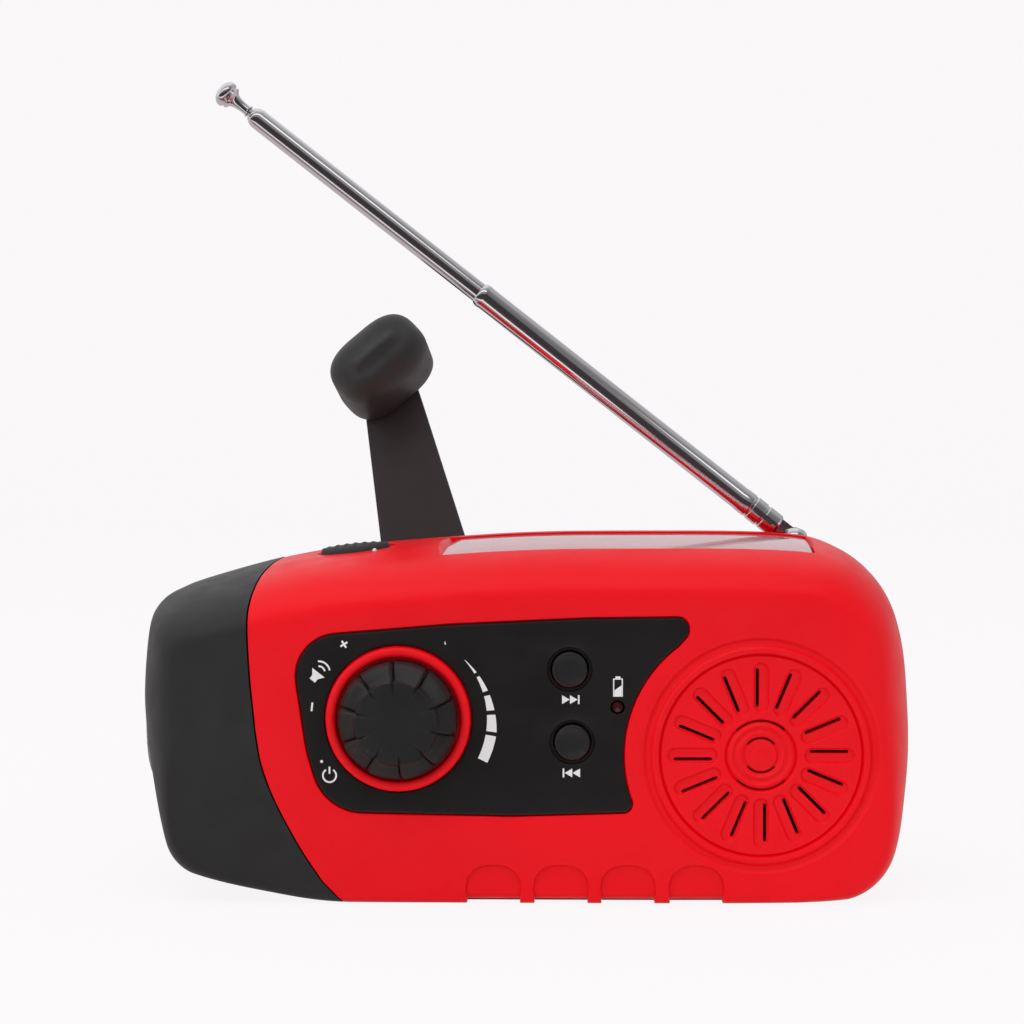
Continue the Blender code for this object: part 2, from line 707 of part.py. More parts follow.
# ------------------------------------------------------------ lamp cap and lamp
TONGUE_OUTSIDE = (2.45, 3.1, 3.4, 2.4)   # walls: side, top, front, back
TONGUE_INSIDE = (3.7, 4.4, 4.6, 3.6)
LIP_OUTSIDE = (1.6, 1.6, 1.6, 1.6)
TONGUE_REACH, TONGUE_ROOT = 3.0, -2.5    # X from the joint line


def lamp_slab(half_width, half_height, x0, x1):
    """Oblong block across the lamp's axis."""
    return x_prism(stadium(LAMP_Y, LAMP_Z, half_width, half_height), x0, x1)


def cap_tongue():
    """Tongue that slides inside the two shells, with the lip it grows from."""
    tongue = inner_block(*TONGUE_OUTSIDE)
    cut(tongue,
        inner_block(*TONGUE_INSIDE),
        side_of_seam(TONGUE_REACH, left=False),
        side_of_seam(TONGUE_ROOT, left=True),
        box((-FAR_X, 0), (8.5, FAR_Y), (50.6, ABOVE_Z)))
    lip = inner_block(*LIP_OUTSIDE)
    cut(lip,
        inner_block(*TONGUE_INSIDE),
        side_of_seam(-SEAM_GAP / 2 - 0.01, left=False),
        side_of_seam(TONGUE_ROOT, left=True))
    fuse(tongue, lip)
    return tongue


def build_lamp_cap():
    cap = casing(0.0, 0.0, FRONT_Y, BACK_Y, back=True)
    cut(cap, inner_block(WALL, WALL, WALL, WALL), side_of_seam(-SEAM_GAP / 2, left=False))
    fuse(cap, cap_tongue())
    cut(cap, lamp_slab(10.0, 13.0, -80.0, -57.4))
    finish(cap, "lamp_cap", "black_cap")


def build_lamp_lens():
    finish(lamp_slab(9.7, 12.7, -62.3, -60.5), "lamp_lens", "clear_plastic")


REFLECTOR_FRONT_X = -60.2
# (radius, distance inwards from the reflector's open face)
REFLECTOR_CONE = [(0, -3.0), (4.3, -3.0), (4.05, 0.0), (3.2, 3.0), (1.9, 6.0),
                  (1.9, 12.0), (0, 12.0)]
LAMP_LED_TIP_X = -55.3
LAMP_LED_PROFILE = [(0, 0), (0.8, 0.12), (1.35, 0.7), (1.5, 1.5), (1.5, 3.2), (0, 3.2)]


def build_lamp_reflector():
    reflector = lamp_slab(9.6, 12.6, REFLECTOR_FRONT_X, -52.6)
    fuse(reflector, lamp_slab(11.4, 14.2, -57.8, -56.6))
    for z in LAMP_LED_HEIGHTS:
        cut(reflector, turned(REFLECTOR_CONE, (REFLECTOR_FRONT_X, LAMP_Y, z),
                              RIGHTWARD, 16))
    finish(reflector, "lamp_reflector", "silver_reflector")


def build_lamp_leds():
    for number, z in enumerate(LAMP_LED_HEIGHTS, 1):
        led = turned(LAMP_LED_PROFILE, (LAMP_LED_TIP_X, LAMP_Y, z), RIGHTWARD, 14)
        finish(led, f"lamp_led_{number}", "white_led")


def build_led_board():
    finish(lamp_slab(9.0, 12.4, -52.0, -50.8), "led_board", "circuit_board")


# ------------------------------------------------------------ controls
KNOB_LOBES = 10
KNOB_FIRST_NOTCH = 96.0          # degrees
NOTCH_HALF_ANGLE, NOTCH_FLOOR_HALF_ANGLE = 2.4, 1.4     # degrees
LOBE_STEPS = 4
# radius, notch depth, Y
KNOB_LEVELS = ((9.4, 1.1, -20.6), (9.4, 1.1, -23.6), (8.7, 1.0, -25.2),
               (7.3, 0.8, -26.5), (6.7, 0.0, -26.8))
# (radius, Y)
BUTTON_PROFILE = [(0, -21.4), (2.5, -21.4), (2.8, -21.1), (2.8, -17.6), (3.9, -17.6),
                  (3.9, -16.7), (1.6, -16.7), (1.6, -15.2), (0, -15.2)]
STATUS_LED_PROFILE = [(0, -20.9), (0.8, -20.7), (1.0, -20.3), (1.0, -12.6),
                      (1.8, -12.6), (1.8, -10.7), (0, -10.7)]
COMPONENT_BACK_Y = -10.7         # parts stand just ahead of the main board
# half length, half width, height above the light button's origin
LIGHT_BUTTON_LEVELS = ((6.9, 5.1, -4.8), (6.9, 5.1, -3.8), (5.8, 4.0, -3.8),
                       (5.8, 4.0, 0.5), (5.3, 3.5, 1.0), (4.0, 2.4, 1.2))
LIGHT_SWITCH_LEVELS = ((3.0, 3.0, -9.4), (3.0, 3.0, -7.2), (1.7, 1.7, -7.2),
                       (1.7, 1.7, -6.4))
LIGHT_BOARD_LEVELS = ((6.4, 5.6, -10.9), (6.4, 5.6, -9.7))


def knob_contour(radius, depth):
    """Lobes with a narrow notch between each two, about (0, 0)."""
    pitch = 360.0 / KNOB_LOBES
    polar = []
    for k in range(KNOB_LOBES):
        notch = math.radians(KNOB_FIRST_NOTCH + pitch * k)
        for offset, drop in ((-NOTCH_HALF_ANGLE, 0.0), (-NOTCH_FLOOR_HALF_ANGLE, depth),
                             (NOTCH_FLOOR_HALF_ANGLE, depth), (NOTCH_HALF_ANGLE, 0.0)):
            polar.append((radius - drop, notch + math.radians(offset)))
        for j in range(1, LOBE_STEPS):
            offset = NOTCH_HALF_ANGLE + (pitch - 2 * NOTCH_HALF_ANGLE) * j / LOBE_STEPS
            polar.append((radius, notch + math.radians(offset)))
    return [(reach * math.cos(turn), reach * math.sin(turn)) for reach, turn in polar]


def build_volume_control():
    origin = (KNOB_X, FRONT_Y, KNOB_Z)
    knob = skin([[(KNOB_X + x, y, KNOB_Z + z) for x, z in knob_contour(radius, depth)]
                 for radius, depth, y in KNOB_LEVELS])
    cut(knob, y_rod(KNOB_X, KNOB_Z, -24.8, -18.0, 3.15))
    finish(knob, "volume_knob", "black_knob", origin=origin)
    shaft = y_rod(KNOB_X, KNOB_Z, -24.5, -16.1, 2.9)
    finish(shaft, "volume_shaft", "steel", origin=origin)
    pot = box((KNOB_X - 5.5, KNOB_X + 5.5), (-15.8, COMPONENT_BACK_Y),
              (KNOB_Z - 6, KNOB_Z + 6))
    finish(pot, "volume_pot", "grey_component")


def build_buttons():
    for button_name, switch_name, x, z in BUTTONS:
        button = y_turned(BUTTON_PROFILE, x, z, 18)
        finish(button, button_name, "black_knob", origin=(x, FRONT_Y, z))
        switch = box((x - 3, x + 3), (-13.4, COMPONENT_BACK_Y), (z - 3, z + 3))
        fuse(switch, y_rod(x, z, -14.2, -13.0, 1.7, 12))
        finish(switch, switch_name, "grey_component")


def build_status_led():
    finish(y_turned(STATUS_LED_PROFILE, LED_X, LED_Z, 12), "status_led", "red_led")


def build_light_control():
    button = oval_stack(LIGHT_BUTTON_LEVELS)
    # short stub underneath, above the switch
    fuse(button, rod(LIGHT_ORIGIN + LIGHT_UP * -5.4, LIGHT_ORIGIN + LIGHT_UP * -4.5, 1.6, 12))
    finish(button, "light_button", "soft_rubber", origin=LIGHT_ORIGIN)
    finish(oval_stack(LIGHT_SWITCH_LEVELS, 12), "switch_light", "grey_component")
    finish(oval_stack(LIGHT_BOARD_LEVELS, 16), "light_board", "circuit_board")


# ------------------------------------------------------------ boards and screws
# (radius, Y)
BOARD_SCREW_PROFILE = [(0, -15.0), (0.65, -14.6), (0.65, -8.7), (2.0, -8.7),
                       (1.8, -7.6), (0, -7.5)]
GEAR_SCREW_PROFILE = [(0, 6.9), (1.6, 7.1), (1.9, 8.7), (0.65, 8.7), (0.65, 14.6),
                      (0, 15.0)]
CASE_SCREW_PROFILE = [(0, -4.0), (0.9, -3.4), (0.9, 14.7), (1.1, 15.3), (2.3, 15.3),
                      (2.3, 16.2), (1.5, 16.9), (0, 17.1)]
# (radius, X from the left end)
BATTERY_START = (-35.6, 1.2, 14.4)
BATTERY_PROFILE = [(0, 0), (8.6, 0), (9.15, 0.5), (9.15, 64.0), (8.6, 64.4),
                   (3.0, 64.4), (3.0, 65.2), (0, 65.2)]


def build_screws():
    for name, places, profile in (
            ("board_screw", BOARD_SCREWS, BOARD_SCREW_PROFILE),
            ("gearbox_screw", GEAR_SCREWS, GEAR_SCREW_PROFILE),
            ("case_screw", CASE_SCREWS, CASE_SCREW_PROFILE)):
        for number, (x, z) in enumerate(places, 1):
            finish(y_turned(profile, x, z, 12), f"{name}_{number}", "steel")


def build_main_board():
    board = box((-31.0, 16.6), (-10.4, -9.0), (10.0, 46.0))
    for x, z in BOARD_SCREWS:
        cut(board, y_rod(x, z, -12.0, -7.0, 1.3, 10))
    finish(board, "main_board", "circuit_board")


def build_port_board():
    finish(box((30.2, 52.6), (3.0, 14.0), (3.9, 5.1)), "port_board", "circuit_board")


def build_usb_a_socket():
    socket = box((30.5, 43.7), (4.0, 16.6), (5.5, 11.2))
    cut(socket, box((31.1, 43.1), (5.0, 20.0), (6.1, 10.6)))
    fuse(socket, box((31.6, 42.6), (4.5, 15.5), (8.2, 9.8)))
    finish(socket, "usb_a_socket", "steel")


def build_usb_c_socket():
    socket = box((45.0, 54.0), (8.6, 16.6), (5.5, 9.0))
    cut(socket, prism(stadium(49.5, 7.25, 4.1, 1.3, steps=5), 9.4, 20.0))
    fuse(socket, box((46.5, 52.5), (9.0, 15.5), (6.95, 7.55)))
    finish(socket, "usb_c_socket", "steel")


def build_battery():
    finish(turned(BATTERY_PROFILE, BATTERY_START, RIGHTWARD), "battery_cell", "battery_wrap")


# ------------------------------------------------------------ speaker
# piece, material, (radius, Y) profile
SPEAKER_PARTS = (
    ("speaker_frame", "steel",
     [(18.0, -17.7), (18.0, -16.6), (15.9, -16.4), (10.0, -11.0), (10.0, -10.0),
      (3.6, -10.0), (3.6, -11.0), (8.9, -11.0), (15.2, -17.0), (15.2, -17.7)]),
    ("speaker_cone", "paper_cone",
     [(0, -13.6), (1.6, -13.4), (3.0, -12.6), (3.3, -12.2), (13.6, -17.2), (14.8, -17.2),
      (14.8, -16.8), (13.9, -16.7), (3.4, -11.5), (2.7, -11.5), (0, -12.6)]),
    ("speaker_magnet", "magnet",
     [(0, -9.7), (9.0, -9.7), (9.0, -5.6), (8.4, -5.0), (0, -5.0)]),
)


def build_speaker():
    for name, material_name, profile in SPEAKER_PARTS:
        finish(y_turned(profile, SPEAKER_X, SPEAKER_Z, 24), name, material_name)


# ------------------------------------------------------------ hand generator
Gear = namedtuple("Gear", "teeth module tip_radius root_radius flank_steps")
CRANK_GEAR = Gear(36, 0.8, 15.0, 13.54, 1)
IDLER_PINION = Gear(12, 0.8, 5.5, 3.95, 2)
IDLER_WHEEL = Gear(30, 0.6, 9.38, 8.46, 1)
ROTOR_PINION = Gear(10, 0.6, 3.5, 2.42, 2)
PRESSURE_ANGLE = math.radians(20)
TOOTH_SLACK = 0.07
IDLER_DIRECTION = math.radians(45.0)     # from the crank axis
ROTOR_DIRECTION = math.radians(-20.0)    # from the idler axis


def meshed_centre(centre, direction, driver, driven):
    """Centre of a driven gear in mesh with a driver at centre."""
    distance = driver.module * (driver.teeth + driven.teeth) / 2
    return (centre[0] + distance * math.cos(direction),
            centre[1] + distance * math.sin(direction))


CRANK_AXIS = (CRANK_X, CRANK_Z)
IDLER_AXIS = meshed_centre(CRANK_AXIS, IDLER_DIRECTION, CRANK_GEAR, IDLER_PINION)
ROTOR_AXIS = meshed_centre(IDLER_AXIS, ROTOR_DIRECTION, IDLER_WHEEL, ROTOR_PINION)

# corner X, corner Z, corner radius
PLATE_CORNERS = ((-26.5, 24.2, 1.5), (24.0, 23.8, 2.0), (24.0, 30.0, 3.0),
                 (22.4, 36.0, 3.0), (22.4, 50.7, 2.5), (-10.0, 50.7, 3.0),
                 (-26.0, 47.5, 3.0))


def gear_contour(gear, centre, phase):
    """Involute spur gear contour with a tooth centred on angle phase."""
    pitch_radius = gear.module * gear.teeth / 2
    base_radius = pitch_radius * math.cos(PRESSURE_ANGLE)

    def involute(radius):
        angle = math.acos(min(1.0, base_radius / radius))
        return math.tan(angle) - angle

    half = math.pi / (2 * gear.teeth) - TOOTH_SLACK / pitch_radius + involute(pitch_radius)
    start = max(gear.root_radius, base_radius)
    flank = []
    if gear.root_radius < base_radius:
        flank.append((gear.root_radius, half))
    for i in range(gear.flank_steps + 1):
        radius = start + (gear.tip_radius - start) * i / gear.flank_steps
        flank.append((radius, half - involute(radius)))
    polar = []
    for k in range(gear.teeth):
        middle = phase + 2 * math.pi * k / gear.teeth
        polar += [(radius, middle - angle) for radius, angle in flank]
        polar += [(radius, middle + angle) for radius, angle in reversed(flank)]
    return [(centre[0] + radius * math.cos(turn), centre[1] + radius * math.sin(turn))
            for radius, turn in polar]


def meshing_phase(gear, direction):
    """Phase that turns a tooth gap back towards the driver."""
    return direction + math.pi + math.pi / gear.teeth


def build_crank_gear():
    gear = prism(gear_contour(CRANK_GEAR, CRANK_AXIS, IDLER_DIRECTION), 13.4, 15.4)
    fuse(gear, y_rod(*CRANK_AXIS, 12.2, 13.5, 4.6, 20))
    cut(gear, y_rod(*CRANK_AXIS, 10.0, 18.0, 2.7, 20))
    finish(gear, "crank_gear", "gear_plastic", origin=(CRANK_X, 14.4, CRANK_Z))


def build_idler():
    x, z = IDLER_AXIS
    idler = prism(gear_contour(IDLER_WHEEL, IDLER_AXIS, ROTOR_DIRECTION), 10.9, 12.9)
    phase = meshing_phase(IDLER_PINION, IDLER_DIRECTION)
    fuse(idler, prism(gear_contour(IDLER_PINION, IDLER_AXIS, phase), 12.6, 15.5))
    cut(idler, y_rod(x, z, 9.0, 18.0, 1.25, 14))
    finish(idler, "idler_gear", "gear_plastic", origin=(x, 12.9, z))
    finish(y_rod(x, z, 8.6, 15.8, 1.0, 14), "idler_axle", "steel")


def build_rotor():
    x, z = ROTOR_AXIS
    phase = meshing_phase(ROTOR_PINION, ROTOR_DIRECTION)
    rotor = prism(gear_contour(ROTOR_PINION, ROTOR_AXIS, phase), 10.7, 13.0)
    # shaft, then the magnet drum
    fuse(rotor, y_rod(x, z, -4.4, 11.0, 1.1, 14), y_rod(x, z, -3.2, 7.4, 6.6, 24))
    finish(rotor, "rotor", "magnet", origin=(x, 12.0, z))


def build_stator():
    outer, inner, shaft_hole = 10.8, 7.1, 1.5
    stator = y_tube(*ROTOR_AXIS, -3.6, 8.6, outer, inner, 20)
    # end wall at the front, and a short ring that joins it to the tube
    fuse(stator,
         y_tube(*ROTOR_AXIS, -5.2, -3.9, outer, shaft_hole, 20),
         y_tube(*ROTOR_AXIS, -4.2, -3.4, outer, inner, 20))
    finish(stator, "stator", "copper")


def build_gearbox_plate():
    plate = prism(round_corners(PLATE_CORNERS), 9.0, 10.4)
    holes = [(CRANK_AXIS, 2.75, 20), (IDLER_AXIS, 1.15, 14), (ROTOR_AXIS, 1.5, 14)]
    holes += [(screw, 1.2, 10) for screw in GEAR_SCREWS]
    for centre, radius, sides in holes:
        cut(plate, y_rod(*centre, 6.0, 13.0, radius, sides))
    finish(plate, "gearbox_plate", "steel")


def build_crank_bush():
    finish(y_tube(*CRANK_AXIS, 15.8, BACK_Y, 4.1, 2.75, 24), "crank_bush", "steel")


# ------------------------------------------------------------ crank
HINGE = Vector((CRANK_X, HINGE_Y, CRANK_Z))
# arm direction before it stands off the back, then the arm's own axes
CRANK_UP = Vector((-math.sin(ARM_LEAN), 0, math.cos(ARM_LEAN)))
ALONG = CRANK_UP * math.cos(ARM_OUT) + BACKWARD * math.sin(ARM_OUT)
FRONTWARD = CRANK_UP * math.sin(ARM_OUT) - BACKWARD * math.cos(ARM_OUT)
ACROSS = Vector((math.cos(ARM_LEAN), 0, math.sin(ARM_LEAN)))
ARM_TIP = HINGE + ALONG * ARM_LENGTH

HUB_PROFILE = [(0, 8.7), (2.5, 8.7), (2.5, 18.4), (9.8, 18.4), (9.8, 19.4),
               (9.2, 20.0), (0, 20.0)]                  # (radius, Y)
HUB_LUG_HALF_WIDTH, HUB_LUG_HALF_HEIGHT = 4.0, 2.4
HUB_LUG_START_Y = 19.5
ARM_SHOULDER = 57.0              # distance where the rounded tip begins
ARM_HALF_THICKNESS = 1.3
ARM_TIP_STEPS = 10
ARM_NOTCH_HALF_WIDTH, ARM_NOTCH_DEPTH = 4.35, 3.2       # clears the hub lug
BARREL_INNER, BARREL_OUTER, BARREL_RADIUS = 4.31, 10.26, 1.95
# (radius, distance in front of the arm's mid plane)
KNOB_PIN_PROFILE = [(0, -2.3), (2.2, -2.3), (2.7, -1.9), (2.7, -1.6), (1.4, -1.6),
                    (1.4, 12.6), (0, 12.6)]
GRIP_TURN = math.radians(42.0)   # long axis of the grip above +X with the arm flat
GRIP_HALF_LENGTH, GRIP_HALF_WIDTH = 9.25, 6.25
GRIP_POWER = 0.80                # below 1 squares the oval
GRIP_SIDES = 28
GRIP_SHRINK = 6.0                # radius lost per unit of lost fullness
# distance from the arm, fullness of the section
GRIP_LEVELS = ((1.7, 0.90), (2.4, 0.97), (3.6, 1.0), (9.0, 1.0), (12.2, 0.98),
               (14.2, 0.90), (15.6, 0.74), (16.4, 0.50))


def hinge_rod(reach, radius, sides, hint=BACKWARD):
    """Rod along the hinge axis, to an equal reach on both sides."""
    return rod(HINGE - ACROSS * reach, HINGE + ACROSS * reach, radius, sides, hint)


def build_crank_hub():
    hub = y_turned(HUB_PROFILE, CRANK_X, CRANK_Z, 28)
    wide, high = HUB_LUG_HALF_WIDTH, HUB_LUG_HALF_HEIGHT
    base = Vector((CRANK_X, 0, CRANK_Z))
    lug = skin([place([(-wide, y, -high), (wide, y, -high), (wide, y, high), (-wide, y, high)],
                      base, ACROSS, BACKWARD, CRANK_UP) for y in (HUB_LUG_START_Y, HINGE_Y)])
    fuse(hub, lug, hinge_rod(wide, 2.35, 20))
    cut(hub, hinge_rod(12.0, 1.2, 14))
    finish(hub, "crank_hub", "black_knob", origin=HINGE)


def build_hinge_pin():
    finish(hinge_rod(9.4, 0.95, 14), "crank_hinge_pin", "steel", origin=HINGE)


def arm_contour():
    """Tapered arm as (across, along) pairs, notched at the hinge end."""
    def half_width(along):
        return 10.2 - 0.084 * along

    root, shoulder = half_width(0), half_width(ARM_SHOULDER)
    tip_radius = half_width(ARM_LENGTH) + 0.1
    points = [(-root, 0.0), (-shoulder, ARM_SHOULDER)]
    for k in range(1, ARM_TIP_STEPS):
        turn = math.pi - math.pi * k / ARM_TIP_STEPS
        points.append((tip_radius * math.cos(turn),
                       ARM_LENGTH - 2.0 + (tip_radius + 1.2) * math.sin(turn)))
    notch, depth = ARM_NOTCH_HALF_WIDTH, ARM_NOTCH_DEPTH
    return points + [(shoulder, ARM_SHOULDER), (root, 0.0), (notch, 0.0), (notch, depth),
                     (-notch, depth), (-notch, 0.0)]


def build_crank_arm():
    arm = skin([place([(across, along, level) for across, along in arm_contour()],
                      HINGE, ACROSS, ALONG, FRONTWARD)
                for level in (-ARM_HALF_THICKNESS, ARM_HALF_THICKNESS)])
    for side in (-1, 1):
        fuse(arm, rod(HINGE + ACROSS * side * BARREL_INNER,
                      HINGE + ACROSS * side * BARREL_OUTER, BARREL_RADIUS, hint=FRONTWARD))
    cut(arm,
        hinge_rod(14, 1.15, 14, FRONTWARD),
        rod(ARM_TIP - FRONTWARD * 5, ARM_TIP + FRONTWARD * 5, 1.7, 14, ACROSS))
    finish(arm, "crank_arm", "black_knob", origin=HINGE)


def build_knob_pin():
    pin = turned(KNOB_PIN_PROFILE, ARM_TIP, FRONTWARD, 14, ACROSS)
    finish(pin, "knob_pin", "steel", origin=HINGE)


def build_crank_knob():
    """Grip with an oblong section and a domed free end."""
    turn_from_arm = GRIP_TURN - (math.pi / 2 + ARM_LEAN)
    long_axis = ALONG * math.cos(turn_from_arm) - ACROSS * math.sin(turn_from_arm)
    wide_axis = FRONTWARD.cross(long_axis)
    rings = []
    for height, fullness in GRIP_LEVELS:
        row = []
        for i in range(GRIP_SIDES):
            turn = 2 * math.pi * i / GRIP_SIDES
            cosine, sine = math.cos(turn), math.sin(turn)
            x = GRIP_HALF_LENGTH * math.copysign(abs(cosine) ** GRIP_POWER, cosine)
            y = GRIP_HALF_WIDTH * math.copysign(abs(sine) ** GRIP_POWER, sine)
            radius = math.hypot(x, y)
            share = (radius - (1 - fullness) * GRIP_SHRINK) / radius
            row.append(ARM_TIP + FRONTWARD * height + long_axis * x * share
                       + wide_axis * y * share)
        rings.append(row)
    knob = skin(rings)
    cut(knob, rod(ARM_TIP, ARM_TIP + FRONTWARD * 13.2, 1.75, 14, ACROSS))
    finish(knob, "crank_knob", "black_knob", angle=50.0, origin=ARM_TIP)


# ------------------------------------------------------------ antenna
PIVOT = Vector((ANTENNA_X, ANTENNA_Y, ANTENNA_Z))
ANTENNA_DIRECTION = Vector((-math.cos(ANTENNA_TILT), 0, math.sin(ANTENNA_TILT)))
ANTENNA_UP = BACKWARD.cross(ANTENNA_DIRECTION)
PIVOT_HOLE_RADIUS = 0.75
EYE_RADIUS, EYE_REACH, EYE_HALF_THICKNESS = 1.7, 4.8, 0.85
EYE_STEPS = 8
# (radius, Z)
ANTENNA_BASE_PROFILE = [(0, 47.0), (1.6, 47.0), (1.6, 53.5), (2.5, 53.5), (2.5, 56.9),
                        (2.1, 57.9), (1.2, 58.4), (0, 58.5)]
# (radius, distance from the pivot)
TUBE_1_PROFILE = [(0, 3.6), (1.5, 3.6), (2.15, 4.4), (2.15, 69.7), (1.95, 69.7),
                  (1.95, 6.4), (0, 6.4)]
UPPER_ANTENNA = (
    ("antenna_tube_2", [(1.55, 57.6), (1.8, 57.6), (1.8, 119.6), (1.55, 119.6)]),
    ("antenna_tube_3", [(1.15, 59.0), (1.4, 59.0), (1.4, 119.9), (1.15, 119.9)]),
    ("antenna_tip", [(0, 60.0), (0.8, 60.0), (0.8, 122.6), (1.5, 123.0), (1.5, 123.7),
                     (2.0, 124.2), (2.3, 124.9), (2.3, 126.2), (1.8, 126.9), (0, 127.1)]),
)


def pivot_rod(reach, radius):
    """Rod along the antenna's pivot axis."""
    return rod(PIVOT - BACKWARD * reach, PIVOT + BACKWARD * reach, radius, 10)


def antenna_turned(profile):
    return turned(profile, PIVOT, ANTENNA_DIRECTION, 16, BACKWARD)


def build_antenna_base():
    base = turned(ANTENNA_BASE_PROFILE, (ANTENNA_X, ANTENNA_Y, 0), UPWARD, 20)
    # fork slot, then the pin hole
    cut(base,
        box((ANTENNA_X - 6, ANTENNA_X + 6), (ANTENNA_Y - 1.1, ANTENNA_Y + 1.1), (54.1, 62.0)),
        pivot_rod(5, PIVOT_HOLE_RADIUS))
    finish(base, "antenna_base", "chrome", origin=PIVOT)
    finish(pivot_rod(2.3, 0.55), "antenna_pin", "steel", origin=PIVOT)


def build_antenna_tubes():
    eye = []
    for k in range(EYE_STEPS + 1):
        turn = math.pi / 2 + math.pi * k / EYE_STEPS
        eye.append((EYE_RADIUS * math.cos(turn), EYE_RADIUS * math.sin(turn)))
    eye += [(EYE_REACH, -EYE_RADIUS), (EYE_REACH, EYE_RADIUS)]
    tube = antenna_turned(TUBE_1_PROFILE)
    fuse(tube, skin([place([(along, up, side) for along, up in eye],
                           PIVOT, ANTENNA_DIRECTION, ANTENNA_UP, BACKWARD)
                     for side in (-EYE_HALF_THICKNESS, EYE_HALF_THICKNESS)]))
    cut(tube, pivot_rod(4, PIVOT_HOLE_RADIUS))
    finish(tube, "antenna_tube_1", "chrome", origin=PIVOT)
    for name, profile in UPPER_ANTENNA:
        finish(antenna_turned(profile), name, "chrome", origin=PIVOT)


# ------------------------------------------------------------ port cover
COVER_FRONT_Y, COVER_BACK_Y = 17.1, 18.3
COVER_HINGE_Z, COVER_TOP_Z = 4.7, 13.0
COVER_X = (29.6, 55.0)
COVER_STEPS = 6


def build_port_cover():
    """Flap with a rounded lower edge that is its hinge line."""
    radius = (COVER_BACK_Y - COVER_FRONT_Y) / 2
    hinge_y = COVER_FRONT_Y + radius
    contour = []
    for k in range(COVER_STEPS + 1):
        turn = math.pi + math.pi * k / COVER_STEPS
        contour.append((hinge_y + radius * math.cos(turn),
                        COVER_HINGE_Z + radius * math.sin(turn)))
    contour += [(COVER_BACK_Y, COVER_TOP_Z), (COVER_FRONT_Y, COVER_TOP_Z)]
    finish(x_prism(contour, *COVER_X), "port_cover", "soft_rubber",
           origin=(sum(COVER_X) / 2, hinge_y, COVER_HINGE_Z))


def main():
    clear_scene()
    make_plastics()
    make_metals()
    make_component_materials()
    for build in (
            build_front_shell, build_rear_shell, build_lamp_cap,
            build_lamp_lens, build_lamp_reflector, build_lamp_leds, build_led_board,
            build_control_panel, build_solar_window, build_solar_cell,
            build_volume_control, build_buttons, build_status_led, build_light_control,
            build_main_board, build_port_board, build_usb_a_socket, build_usb_c_socket,
            build_battery, build_screws, build_speaker,
            build_crank_gear, build_idler, build_rotor, build_stator,
            build_gearbox_plate, build_crank_bush,
            build_crank_hub, build_hinge_pin, build_crank_arm, build_knob_pin,
            build_crank_knob, build_antenna_base, build_antenna_tubes, build_port_cover):
        build()


main()
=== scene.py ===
"""Looks for a hand-crank emergency radio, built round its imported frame.

Shapes are worked out in millimetres and stored in metres.  X runs to the right as seen
from the front, Y from the front face to the back, and Z up from the underside.  The lamp
is at the left end, the solar window on top, the crank on the back and the aerial at the
top right of the back, leaning left.
"""
import json
import math

import bmesh
import bpy
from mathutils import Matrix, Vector


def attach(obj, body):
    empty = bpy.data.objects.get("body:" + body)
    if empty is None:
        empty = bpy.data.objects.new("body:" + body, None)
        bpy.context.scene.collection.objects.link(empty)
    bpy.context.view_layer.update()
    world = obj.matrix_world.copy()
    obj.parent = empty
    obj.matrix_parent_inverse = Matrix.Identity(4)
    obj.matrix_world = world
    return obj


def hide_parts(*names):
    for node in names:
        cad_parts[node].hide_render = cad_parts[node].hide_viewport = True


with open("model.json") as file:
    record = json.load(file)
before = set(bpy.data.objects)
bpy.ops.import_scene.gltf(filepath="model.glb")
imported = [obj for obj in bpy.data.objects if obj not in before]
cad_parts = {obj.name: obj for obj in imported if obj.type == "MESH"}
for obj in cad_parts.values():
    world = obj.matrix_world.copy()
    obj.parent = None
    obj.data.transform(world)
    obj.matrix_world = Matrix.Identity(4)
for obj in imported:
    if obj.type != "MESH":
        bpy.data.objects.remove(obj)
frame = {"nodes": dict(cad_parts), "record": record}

MM = 0.001
ORIGIN = Vector((0, 0, 0))
X_AXIS = Vector((1, 0, 0))
Y_AXIS = Vector((0, 1, 0))
Z_AXIS = Vector((0, 0, 1))
FRONT_VIEW = (ORIGIN, X_AXIS, Z_AXIS, Y_AXIS)    # contours in X, Z; levels along Y
SIDE_VIEW = (ORIGIN, Y_AXIS, Z_AXIS, X_AXIS)     # contours in Y, Z; levels along X

# ------------------------------------------------------------ driving sizes
FRONT_Y = -21.0          # flat front face
BACK_Y = 18.0            # flat back face
SPLIT_Y = 10.0           # front shell ends here
SEAM_GAP = 0.3           # gap between neighbouring mouldings
HALF_GAP = SEAM_GAP / 2
WALL = 2.0
WALL_TOP = 2.8
FRONT_WALL = 3.0
SPINE_Z = 30.0           # centre line that the edge fillets lean towards
SPINE_LEFT, SPINE_RIGHT = -44.0, 42.0
# edge fillets: length along Y, then drop towards the spine; each at top, side, bottom
FILLET_FRONT = ((24.0, 20.0, 1.6), (9.0, 7.8, 1.4))
FILLET_BACK = ((3.0, 3.0, 3.0), (3.0, 3.0, 3.0))

KNOB_X, KNOB_Z = -20.1, 29.8
# body name, X, Z, depth of the dished face
BUTTONS = (("next_button", 7.2, 37.7, 0.10), ("prev_button", 7.6, 26.1, 0.22))
LED_X, LED_Z = 14.8, 31.7
SPEAKER_X, SPEAKER_Z = 37.6, 24.0
GRILLE_RADIUS = 19.4
HOLE_END_Y = -14.0       # holes through the front wall run to here
ARCH_X = (-5.0, 5.8, 16.5, 27.4)
LAMP_Y, LAMP_Z = -1.5, 30.0
LAMP_HALF_Y, LAMP_HALF_Z = 10.0, 13.0

